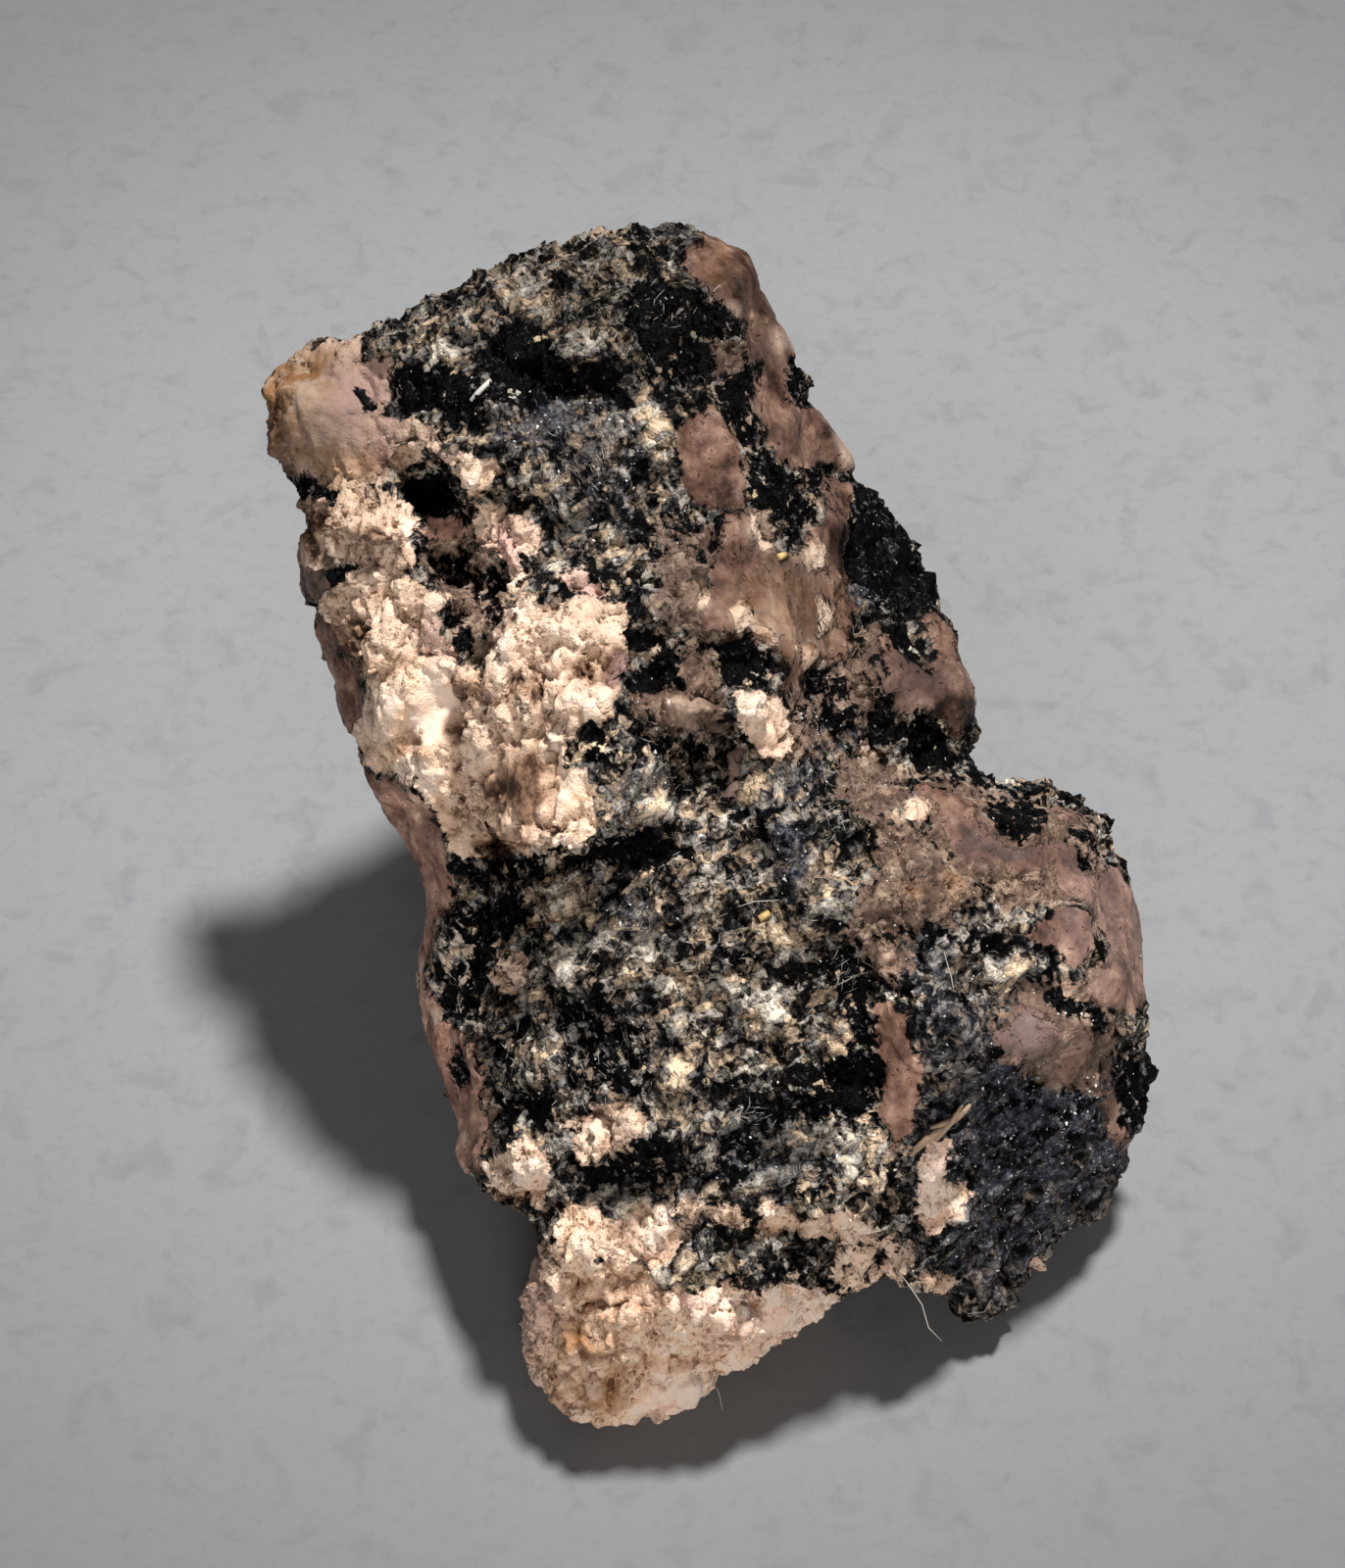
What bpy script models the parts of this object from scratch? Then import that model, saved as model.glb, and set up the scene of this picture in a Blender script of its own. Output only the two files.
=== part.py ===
# Inesite specimen: one broken, crystalline stone whose face leans back over a flat rest face.
# The stone is laid out face-on, in millimetres: x across, y up the face, z out of the face.
# Its upper end is then lifted by LEAN_DEG and it is trimmed level where it meets the table.

import math

import bmesh
import bpy
from mathutils import Matrix, Vector, noise
from mathutils.bvhtree import BVHTree

MM = 0.001

# How the stone stands
LEAN_DEG = 40.0  # the face is tipped up this far from lying flat
FACE_CENTRE_HEIGHT = 12.3  # height of the layout's origin over the table

# Surface finish of the faceted solid
CRYSTAL_SEED = 11
CRYSTAL_CORNERS = 14
BLOCK_VOXEL = 0.45
BODY_VOXEL = 0.40
EDGE_SOFTENING = 2  # smoothing passes over the block edges
MOST_FACES = 8900
STONE_COLOUR = (0.30, 0.21, 0.18, 1.0)
STONE_ROUGHNESS = 0.62

# Broken chips on every face: size of a chip, how steeply it tilts
CHIPS = ((3.4, 0.34), (1.7, 0.36))
WAVES = ((6.0, 0.35), (1.6, 0.18))  # wave length and height of the roughness between chips
RIM_ROUGHNESS = 0.3  # share of the roughness that is left where a face turns sideways

# The masses that the stone broke into, each the hull of its corners
BLOCKS = {
    "head": (
        (-9.7, 15.0, 2.4), (-6.0, 16.8, 2.8), (-3.8, 18.0, 2.4), (0.4, 18.8, 1.6), (1.2, 18.1, 0.8),
        (-9.2, 10.5, 4.6), (-5.2, 14.0, 6.2), (-0.6, 14.0, 6.3), (1.7, 10.5, 6.2), (2.4, 5.0, 6.4),
        (-6.5, 2.0, 3.8), (-5.2, 6.0, 6.0), (-1.5, 0.4, 6.4), (3.0, 1.0, 6.0), (2.6, 14.9, -0.8),
        (4.9, 11.5, -1.6), (5.2, 7.0, -0.5), (5.6, 2.0, 0.6), (-9.6, 14.8, -0.8), (-4.0, 17.5, -3.0),
        (0.8, 17.9, -2.8), (3.8, 12.0, -6.0), (5.0, 5.0, -8.2), (-10.4, 9.0, -3.0), (-9.8, 4.0, -3.4),
        (-8.0, 0.5, -5.0), (0.0, -1.0, -9.4),
    ),
    "corner": (
        (-13.4, 12.2, 0.8), (-13.0, 13.9, 1.0), (-11.9, 14.9, 1.6), (-10.3, 15.5, 1.2), (-12.9, 10.9, 0.8),
        (-9.8, 11.1, 3.6), (-9.6, 14.2, 3.6), (-11.5, 13.4, 3.4), (-11.7, 11.8, 3.2), (-12.0, 12.5, -0.9),
        (-10.4, 14.8, -0.2), (-12.0, 10.4, -1.6),
    ),
    "left_flank": (
        (-12.2, 10.2, 0.8), (-11.7, 8.4, 0.2), (-10.8, 7.1, 0.0), (-11.0, 5.3, -0.4), (-10.0, 2.1, -0.8),
        (-9.2, 1.0, -1.2), (-8.2, -1.5, -1.6), (-10.6, 10.3, 3.4), (-10.0, 7.0, 3.6), (-8.8, 4.0, 4.0),
        (-7.6, 2.5, 3.4), (-7.0, -0.6, 1.8), (-8.6, 8.5, 4.6), (-11.0, 9.0, -2.6), (-10.0, 4.0, -4.0),
        (-8.0, -1.0, -5.0), (-4.5, -2.5, 0.0), (-6.2, -1.9, 1.8), (-4.0, 4.0, -2.0),
    ),
    "boss": (
        (-6.3, 5.2, 5.8), (-5.4, 7.0, 6.2), (-3.4, 7.0, 7.2), (-1.8, 6.3, 7.0), (-1.6, 4.0, 7.6),
        (-2.2, 2.4, 7.9), (-1.6, 0.3, 7.4), (-3.2, -0.1, 8.0), (-4.6, -0.7, 7.0), (-5.9, -0.6, 3.8),
        (-6.9, 1.5, 3.4), (-6.7, 3.6, 4.6), (-5.2, 2.4, 7.0), (-4.0, 3.0, 2.0), (-2.0, 0.6, 4.0),
        (-5.5, -0.2, 3.0),
    ),
    "lower_face": (
        (-5.9, -1.2, 3.4), (-4.6, -5.0, 4.2), (-1.0, 0.4, 6.0), (5.0, 1.0, 6.2), (-5.8, -9.5, 0.8),
        (-4.3, -11.2, 3.5), (0.0, -11.5, 5.8), (5.6, -10.5, 4.8), (5.6, -4.0, 5.4), (2.0, -13.6, 3.6),
        (5.5, -14.0, 0.8), (-8.2, -2.0, -1.4), (-8.6, -5.1, -3.3), (-7.8, -8.0, -4.0),
        (-6.3, -9.7, -1.6), (-5.9, -11.1, -0.2), (-7.0, -2.0, -6.0), (-6.4, -8.0, -6.0),
        (-5.3, -11.6, -4.0), (5.0, -13.8, -2.0), (6.0, 2.0, -8.0), (6.0, -8.0, -10.0),
    ),
    "toe": (
        (-4.0, -11.8, 4.0), (-0.5, -12.0, 5.4), (4.8, -14.1, 1.0), (2.6, -15.9, 0.4), (0.0, -17.4, 0.8),
        (-1.0, -18.1, 0.8), (-3.2, -18.4, 0.6), (-4.5, -17.1, 0.4), (-4.9, -16.4, 0.1), (-5.0, -14.4, 0.6),
        (-4.8, -13.0, 1.9), (-2.5, -15.0, 3.9), (0.5, -14.6, 4.0), (-4.6, -16.6, -2.2), (-4.8, -13.8, -4.6),
        (-1.0, -17.9, -1.4), (1.8, -15.4, -3.0), (4.5, -14.2, -4.4), (0.0, -10.0, -7.0),
    ),
    "right_block": (
        (8.2, 2.1, -1.5), (10.0, 1.6, -2.0), (11.7, 1.4, -2.2), (13.2, 0.4, -2.5), (13.8, -1.5, -2.5),
        (14.2, -4.0, -2.2), (14.2, -6.5, -2.4), (14.1, -9.7, -3.6), (13.1, -12.4, -4.6), (11.2, -14.0, -3.6),
        (9.1, -14.8, -2.2), (7.0, -14.4, -0.6), (7.4, 1.2, 3.8), (10.6, 0.3, 3.6), (12.2, -1.2, 3.2),
        (12.6, -5.0, 3.4), (7.6, -2.0, 7.0), (7.2, -6.0, 7.2), (7.2, -10.0, 4.2), (10.6, -6.0, 4.8),
        (11.8, -9.0, 0.8), (10.5, -11.8, -0.6), (8.5, -13.9, -0.9), (6.5, -13.8, 0.9), (6.4, -12.2, 2.6),
        (4.5, 1.5, 5.6), (10.0, 0.0, -6.0), (12.5, -4.0, -6.0), (12.0, -9.0, -5.6), (9.0, -13.0, -5.0),
    ),
    "black_knob": (
        (5.2, 11.2, -3.0), (6.6, 10.6, -3.0), (7.5, 9.3, -3.2), (8.0, 8.2, -3.2), (7.7, 7.1, -3.0),
        (5.2, 10.2, -0.6), (6.4, 9.4, -1.2), (6.9, 8.2, -1.2), (5.4, 7.5, -0.2), (6.6, 7.2, -0.8),
        (5.0, 9.5, -6.0), (7.0, 8.0, -6.2), (6.0, 6.0, -6.4), (4.0, 8.0, -2.0),
    ),
    "brown_knob": (
        (7.6, 7.1, -2.5), (8.4, 6.4, -2.5), (8.9, 5.3, -2.5), (9.3, 4.0, -2.5), (9.0, 3.0, -2.5),
        (8.2, 2.1, -2.5), (7.6, 1.0, 0.6), (7.8, 0.8, -4.0), (6.0, 6.2, 0.8), (7.4, 6.0, 0.0),
        (8.2, 4.4, 0.2), (7.9, 3.0, 0.2), (6.2, 2.6, 1.6), (5.0, 4.5, 1.8), (6.5, 6.0, -6.2),
        (8.0, 3.0, -6.0), (4.5, 1.0, 0.0),
    ),
    "heel": (
        (-6.0, -6.0, -4.0), (-5.4, -12.0, -4.0), (-5.0, -5.0, -13.6), (-3.0, -1.5, -16.2), (6.0, -1.0, -16.6),
        (8.0, -5.0, -13.6), (9.0, -12.5, -7.2), (-5.0, -12.0, -7.6), (-7.0, 1.0, -5.0), (-4.0, 3.5, -9.5),
        (4.0, 4.5, -10.0), (9.5, -2.0, -7.0), (10.0, -8.0, -6.0),
    ),
}

# Knobs that stand on the face: x, y, half width, half height, rise
KNOBS = (
    (-10.3, 9.7, 1.5, 0.8, 0.6), (-9.5, 7.7, 1.0, 0.7, 0.7), (-9.2, 6.2, 1.1, 0.8, 0.5),
    (-8.4, 3.6, 1.1, 1.3, 0.5), (-5.1, 6.3, 0.9, 0.8, 0.5), (-3.4, 6.2, 0.9, 0.7, 0.5),
    (-3.0, 4.0, 1.1, 0.6, 0.5), (-3.7, 1.8, 1.2, 0.9, 0.6), (-4.9, 0.2, 1.4, 0.7, 0.5),
    (-11.2, 12.6, 1.6, 1.7, 0.5), (0.7, 11.8, 1.1, 1.8, 0.4), (2.9, 12.3, 0.8, 1.5, 0.4),
    (1.8, 6.7, 1.1, 0.7, 0.5), (0.0, 4.1, 0.9, 0.7, 0.6), (2.1, 3.7, 0.9, 0.9, 0.5),
    (2.4, 9.3, 0.7, 0.9, 0.4), (4.3, 3.7, 0.9, 0.9, 0.4), (6.6, 4.9, 1.1, 0.7, 0.4),
    (9.2, -0.1, 1.5, 0.6, 0.4), (11.6, -2.8, 1.1, 1.0, 0.5), (12.8, -4.4, 0.8, 1.3, 0.6),
    (10.3, -6.0, 1.3, 0.8, 0.4), (11.0, -8.6, 1.6, 1.5, 0.6), (9.4, -10.2, 1.1, 1.0, 0.4),
    (7.7, -10.8, 0.8, 1.3, 0.5), (9.6, -12.6, 1.2, 0.9, 0.4), (-5.3, -4.4, 0.9, 0.7, 0.5),
    (-3.2, -2.6, 1.5, 0.8, 0.4), (-2.6, -9.0, 1.5, 0.9, 0.5), (-4.9, -10.2, 1.0, 0.9, 0.5),
    (2.6, -5.7, 1.0, 0.8, 0.4), (4.4, -12.0, 1.5, 0.7, 0.5), (-3.0, -12.4, 1.2, 0.8, 0.5),
    (0.4, -14.7, 1.6, 0.8, 0.4), (-3.1, -15.6, 1.2, 0.9, 0.4), (-2.4, -17.2, 1.3, 0.8, 0.4),
)

# Knobs that stand out past the outline: centre and half sizes
OUTER_KNOBS = (
    ((13.9, -8.2, -2.4), (1.25, 1.25, 1.6)),
    ((13.0, -11.5, -3.8), (0.6, 0.8, 0.9)),
    ((9.3, -14.4, -2.2), (0.8, 0.7, 0.9)),
    ((-10.6, 5.6, -0.8), (0.6, 0.9, 1.2)),
    ((-9.4, 2.3, 0.4), (0.7, 0.5, 1.0)),
    ((7.4, 8.2, -2.8), (0.5, 0.8, 1.2)),
)

# Hollows cut into the face: x, y, half width, half height, depth, turn in degrees
HOLLOWS = (
    (-7.9, 10.5, 1.45, 0.85, 3.8, -8.0),  # the cavity's upper mouth
    (-7.2, 9.3, 1.00, 0.85, 2.0, 0.0),
    (-7.3, 8.2, 1.25, 0.95, 3.6, -15.0),
    (-6.1, 7.4, 0.80, 1.50, 3.6, 35.0),
    (-6.6, 6.2, 1.05, 0.80, 3.2, 10.0),  # the cavity's lower end
    (2.0, 5.3, 1.10, 0.75, 1.7, -5.0),
    (-0.8, 5.2, 0.75, 0.70, 0.9, 40.0),
    (-5.7, 1.5, 0.75, 0.55, 1.2, 0.0),
    (-11.8, 10.5, 0.70, 0.50, 1.6, -20.0),
    (-12.3, 7.6, 0.90, 0.90, 3.0, 40.0),
    (9.1, -3.3, 1.60, 0.65, 1.1, -10.0),
    (10.2, 0.7, 1.50, 0.60, 0.9, -12.0),
    (4.5, 4.7, 0.80, 0.60, 0.9, 0.0),
    (5.0, -4.2, 0.85, 0.80, 1.1, 0.0),
    (4.6, -7.4, 1.30, 1.60, 1.3, 8.0),  # the dark trough beside the brown seam
    (-6.6, -3.2, 0.60, 1.30, 0.9, 5.0),
    (-6.7, -5.4, 0.60, 0.80, 0.9, -10.0),
    (2.6, -6.9, 1.00, 0.35, 0.6, 15.0),
    (-3.2, -7.9, 1.60, 0.45, 0.6, 5.0),
    (-2.4, -10.6, 1.40, 0.40, 0.6, -5.0),
    (7.4, 2.6, 1.00, 0.45, 0.9, 15.0),
    (12.4, -5.7, 0.70, 0.40, 0.7, 0.0),
)

# Overhung steps: start x and y, end x and y, height of the gap, depth under the step
STEPS = (
    (-6.4, -1.15, -3.6, -0.95, 0.60, 2.2),
    (-3.6, -0.85, -0.2, -0.45, 0.50, 1.7),
    (-6.2, 13.5, -1.2, 13.4, 0.40, 0.9),
)


def clear_scene():
    for obj in list(bpy.data.objects):
        bpy.data.objects.remove(obj, do_unlink=True)


def new_collection(name):
    collection = bpy.data.collections.new(name)
    bpy.context.scene.collection.children.link(collection)
    return collection


def mesh_object(name, bm, collection):
    mesh = bpy.data.meshes.new(name)
    bm.to_mesh(mesh)
    bm.free()
    obj = bpy.data.objects.new(name, mesh)
    collection.objects.link(obj)
    return obj


def as_helper(obj):
    obj.hide_render = True
    obj.display_type = "WIRE"
    return obj


def baked(obj):
    # The object's mesh with its modifiers applied
    graph = bpy.context.evaluated_depsgraph_get()
    mesh = bpy.data.meshes.new_from_object(obj.evaluated_get(graph))
    obj.modifiers.clear()
    obj.data = mesh
    return obj


def add_hull(bm, corners):
    verts = [bm.verts.new(Vector(corner)) for corner in corners]
    hull = bmesh.ops.convex_hull(bm, input=verts)
    spare = [item for item in hull["geom_interior"] if isinstance(item, bmesh.types.BMVert)]
    bmesh.ops.delete(bm, geom=list(set(spare)), context="VERTS")


def add_crystal(bm, centre, half_sizes, turn_deg=0.0):
    # A lump with flat faces, the hull of points scattered over a ball
    placed = Matrix.Translation(centre) @ Matrix.Rotation(math.radians(turn_deg), 4, "Z")
    placed = placed @ Matrix.Diagonal((*half_sizes, 1.0))
    add_hull(bm, [placed @ noise.random_unit_vector() for corner in range(CRYSTAL_CORNERS)])


def remesh(obj, voxel):
    modifier = obj.modifiers.new("Remesh", "REMESH")
    modifier.mode = "VOXEL"
    modifier.voxel_size = voxel
    return baked(obj)


def make_blocks(collection):
    # The overlapping masses fused into one body
    bm = bmesh.new()
    for corners in BLOCKS.values():
        add_hull(bm, corners)
    for centre, half_sizes in OUTER_KNOBS:
        add_crystal(bm, centre, half_sizes)
    bmesh.ops.recalc_face_normals(bm, faces=bm.faces)
    return remesh(mesh_object("inesite_stone", bm, collection), BLOCK_VOXEL)


def face_height(tree, x, y):
    # How far out the face lies at a place in the layout
    hit = tree.ray_cast(Vector((x, y, 40.0)), Vector((0.0, 0.0, -1.0)))[0]
    return hit.z if hit else 0.0


def add_knobs(stone):
    bm = bmesh.new()
    bm.from_mesh(stone.data)
    tree = BVHTree.FromBMesh(bm)
    for x, y, half_width, half_height, rise in KNOBS:
        depth = min(half_width, half_height) + rise
        centre = (x, y, face_height(tree, x, y) + rise - depth)
        add_crystal(bm, centre, (half_width, half_height, depth))
    bmesh.ops.recalc_face_normals(bm, faces=bm.faces)
    bm.to_mesh(stone.data)
    bm.free()
    return remesh(stone, BODY_VOXEL)


def make_cutters(stone, collection):
    source = bmesh.new()
    source.from_mesh(stone.data)
    tree = BVHTree.FromBMesh(source)
    source.free()
    bm = bmesh.new()
    for x, y, half_width, half_height, depth, turn in HOLLOWS:
        centre = (x, y, face_height(tree, x, y))
        add_crystal(bm, centre, (half_width, half_height, depth), turn)
    for x0, y0, x1, y1, gap, depth in STEPS:
        middle_x, middle_y = (x0 + x1) / 2, (y0 + y1) / 2
        turn = math.degrees(math.atan2(y1 - y0, x1 - x0))
        half_length = math.hypot(x1 - x0, y1 - y0) / 2
        centre = (middle_x, middle_y, face_height(tree, middle_x, middle_y - gap))
        add_crystal(bm, centre, (half_length, gap, depth), turn)
    bmesh.ops.recalc_face_normals(bm, faces=bm.faces)
    cutters = remesh(mesh_object("hollows", bm, collection), BODY_VOXEL / 2)
    return as_helper(cutters)


def cut(stone, cutters):
    modifier = stone.modifiers.new("Hollows", "BOOLEAN")
    modifier.operation = "DIFFERENCE"
    modifier.object = cutters
    modifier.solver = "EXACT"
    return remesh(baked(stone), BODY_VOXEL)


def chip_height(point, size, tilt):
    # Each cell of the surface is a flat chip with a slope of its own
    place = point / size
    nearest = noise.voronoi(place)[1][0]
    slope = noise.cell_vector(nearest * 7.3) - Vector((0.5, 0.5, 0.5))
    return (place - nearest).dot(slope) * 2.0 * tilt * size


def roughen(stone):
    mesh = stone.data
    normals = [vertex.normal.copy() for vertex in mesh.vertices]
    for vertex, normal in zip(mesh.vertices, normals):
        place = vertex.co.copy()
        height = sum(chip_height(place, size, tilt) for size, tilt in CHIPS)
        height += sum(noise.noise(place / length) * rise for length, rise in WAVES)
        height *= RIM_ROUGHNESS + (1.0 - RIM_ROUGHNESS) * abs(normal.z)
        vertex.co = place + normal * height
    mesh.update()
    return remesh(stone, BODY_VOXEL)


def soften(stone, passes):
    modifier = stone.modifiers.new("Soften", "SMOOTH")
    modifier.factor = 0.5
    modifier.iterations = passes
    return baked(stone)


def thin_out(stone):
    triangles = sum(len(face.vertices) - 2 for face in stone.data.polygons)
    modifier = stone.modifiers.new("Facets", "DECIMATE")
    modifier.ratio = MOST_FACES / triangles
    modifier.use_collapse_triangulate = True
    return baked(stone)


def stand_and_trim(stone):
    # Tips the face up, trims the stone level at the table and centres it over the origin
    tip = Matrix.Rotation(math.radians(LEAN_DEG), 4, "X")
    lift = Matrix.Translation((0.0, 0.0, FACE_CENTRE_HEIGHT))
    bm = bmesh.new()
    bm.from_mesh(stone.data)
    bmesh.ops.transform(bm, matrix=Matrix.Scale(MM, 4) @ lift @ tip, verts=bm.verts)
    whole = bm.verts[:] + bm.edges[:] + bm.faces[:]
    bmesh.ops.bisect_plane(
        bm, geom=whole, plane_co=(0, 0, 0), plane_no=(0, 0, 1), clear_inner=True, dist=1e-7
    )
    rim = [edge for edge in bm.edges if edge.is_boundary]
    bmesh.ops.holes_fill(bm, edges=rim, sides=0)
    bmesh.ops.triangulate(bm, faces=[face for face in bm.faces if len(face.verts) > 3])
    bmesh.ops.recalc_face_normals(bm, faces=bm.faces)
    across = [vertex.co.x for vertex in bm.verts]
    along = [vertex.co.y for vertex in bm.verts]
    middle = Vector((max(across) + min(across), max(along) + min(along), 0.0)) / 2
    bmesh.ops.translate(bm, vec=-middle, verts=bm.verts)
    bm.to_mesh(stone.data)
    bm.free()


def stone_material():
    material = bpy.data.materials.new("inesite_matrix")
    material.use_nodes = True
    shader = material.node_tree.nodes["Principled BSDF"]
    shader.inputs["Base Color"].default_value = STONE_COLOUR
    shader.inputs["Roughness"].default_value = STONE_ROUGHNESS
    shader.inputs["Metallic"].default_value = 0.0
    return material


def main():
    clear_scene()
    noise.seed_set(CRYSTAL_SEED)
    parts = new_collection("inesite_specimen")
    helpers = new_collection("cutters")
    stone = make_blocks(parts)
    soften(stone, EDGE_SOFTENING)
    add_knobs(stone)
    cut(stone, make_cutters(stone, helpers))
    roughen(stone)
    thin_out(stone)
    stand_and_trim(stone)
    stone.data.materials.append(stone_material())


main()
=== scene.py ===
import math

import bpy
import numpy as np
from mathutils import Matrix, Vector
from mathutils.bvhtree import BVHTree


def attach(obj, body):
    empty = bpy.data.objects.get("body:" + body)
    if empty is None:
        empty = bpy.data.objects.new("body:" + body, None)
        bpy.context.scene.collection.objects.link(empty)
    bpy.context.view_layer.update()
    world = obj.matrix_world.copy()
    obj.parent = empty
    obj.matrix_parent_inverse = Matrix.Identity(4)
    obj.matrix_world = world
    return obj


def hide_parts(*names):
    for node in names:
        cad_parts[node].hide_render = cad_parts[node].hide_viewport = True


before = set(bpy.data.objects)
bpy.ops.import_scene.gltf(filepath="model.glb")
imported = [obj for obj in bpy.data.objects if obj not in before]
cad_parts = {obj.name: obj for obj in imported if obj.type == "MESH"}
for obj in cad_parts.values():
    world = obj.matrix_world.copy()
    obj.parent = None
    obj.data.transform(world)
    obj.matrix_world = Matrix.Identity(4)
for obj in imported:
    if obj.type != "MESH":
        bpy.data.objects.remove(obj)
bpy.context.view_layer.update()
print("stone frame loaded")

mm = 0.001

# The stone is described face-on: x across, y up the face, z out of the face, all in millimetres
stoneLayout = {
    "node": "inesite_stone",
    "lean": 40.0,  # degrees that the face leans back
    "middle": (-0.78, -0.56, 12.3),  # where the middle of the face lies on the table
}

viewSetup = {
    "aim": (-0.42, 1.5, 0.0),  # face point in the middle of the picture
    "distance": 140.0,
    "lens": 105.0,
}

leanTurn = np.array(Matrix.Rotation(math.radians(stoneLayout["lean"]), 3, "X"))


def toFace(points):
    return (points / mm - np.array(stoneLayout["middle"])) @ leanTurn


def toWorld(points):
    return (np.asarray(points, float) @ leanTurn.T + np.array(stoneLayout["middle"])) * mm


def asSeen(face):
    # where a face point appears from in front, on the flat layout
    aim = np.array(viewSetup["aim"][:2])
    nearer = viewSetup["distance"] / (viewSetup["distance"] - face[:, 2:3])
    return aim + (face[:, :2] - aim) * nearer


# Repeatable noise on arrays of points
def latticeValue(cells, seed):
    # a number from 0 to 1 that belongs to each whole cell
    a = cells.astype(np.int64)
    h = (a[:, 0] * 73856093) ^ (a[:, 1] * 19349663) ^ (a[:, 2] * 83492791) ^ (seed * 26544357)
    h = (h ^ (h >> 13)) * 1274126177
    h = (h ^ (h >> 16)) * 83492791
    h = h ^ (h >> 15)
    return (h & 0xFFFFFF) / float(0xFFFFFF)


def eased(share):
    return share * share * (3 - 2 * share)


def easedStep(values, low, high):
    return eased(np.clip((values - low) / (high - low), 0, 1))


def softNoise(points, size, seed=0):
    # smooth lumps about one size across, from -1 to 1
    p = points / size
    low = np.floor(p)
    t = eased(p - low)
    total = np.zeros(len(p))
    for corner in np.ndindex(2, 2, 2):
        c = np.array(corner)
        weight = np.prod(np.where(c == 1, t, 1 - t), axis=1)
        total += weight * latticeValue(low + c, seed)
    return total * 2 - 1


def layeredNoise(points, size, seed=0, layers=3):
    total, rise = 0.0, 1.0
    for k in range(layers):
        total = total + softNoise(points, size / 2 ** k, seed + k) * rise
        rise *= 0.5
    return total


def cellNoise(points, size, seed=0):
    # offset from the nearest scattered centre, that centre's own number,
    # and how much nearer it is than the next one
    p = points / size
    low = np.floor(p)
    best = np.full(len(p), 9.0)
    second = np.full(len(p), 9.0)
    offset = np.zeros_like(p)
    number = np.zeros(len(p))
    for step in np.ndindex(3, 3, 3):
        cell = low + np.array(step) - 1
        centre = cell + np.stack([latticeValue(cell, seed + k) for k in (1, 2, 3)], axis=1)
        gap = p - centre
        far = np.einsum("ij,ij->i", gap, gap)
        near = far < best
        second = np.where(near, best, np.minimum(second, far))
        best[near] = far[near]
        offset[near] = gap[near]
        number[near] = latticeValue(cell[near], seed + 7)
    return offset, number, np.sqrt(second) - np.sqrt(best)


def facetRise(offset, number, turn):
    # every cell is a flat facet that slopes its own way
    slope = np.stack([np.cos(turn), np.sin(turn), np.sin(number * 91.0)], axis=1)
    return np.einsum("ij,ij->i", offset, slope)


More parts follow.
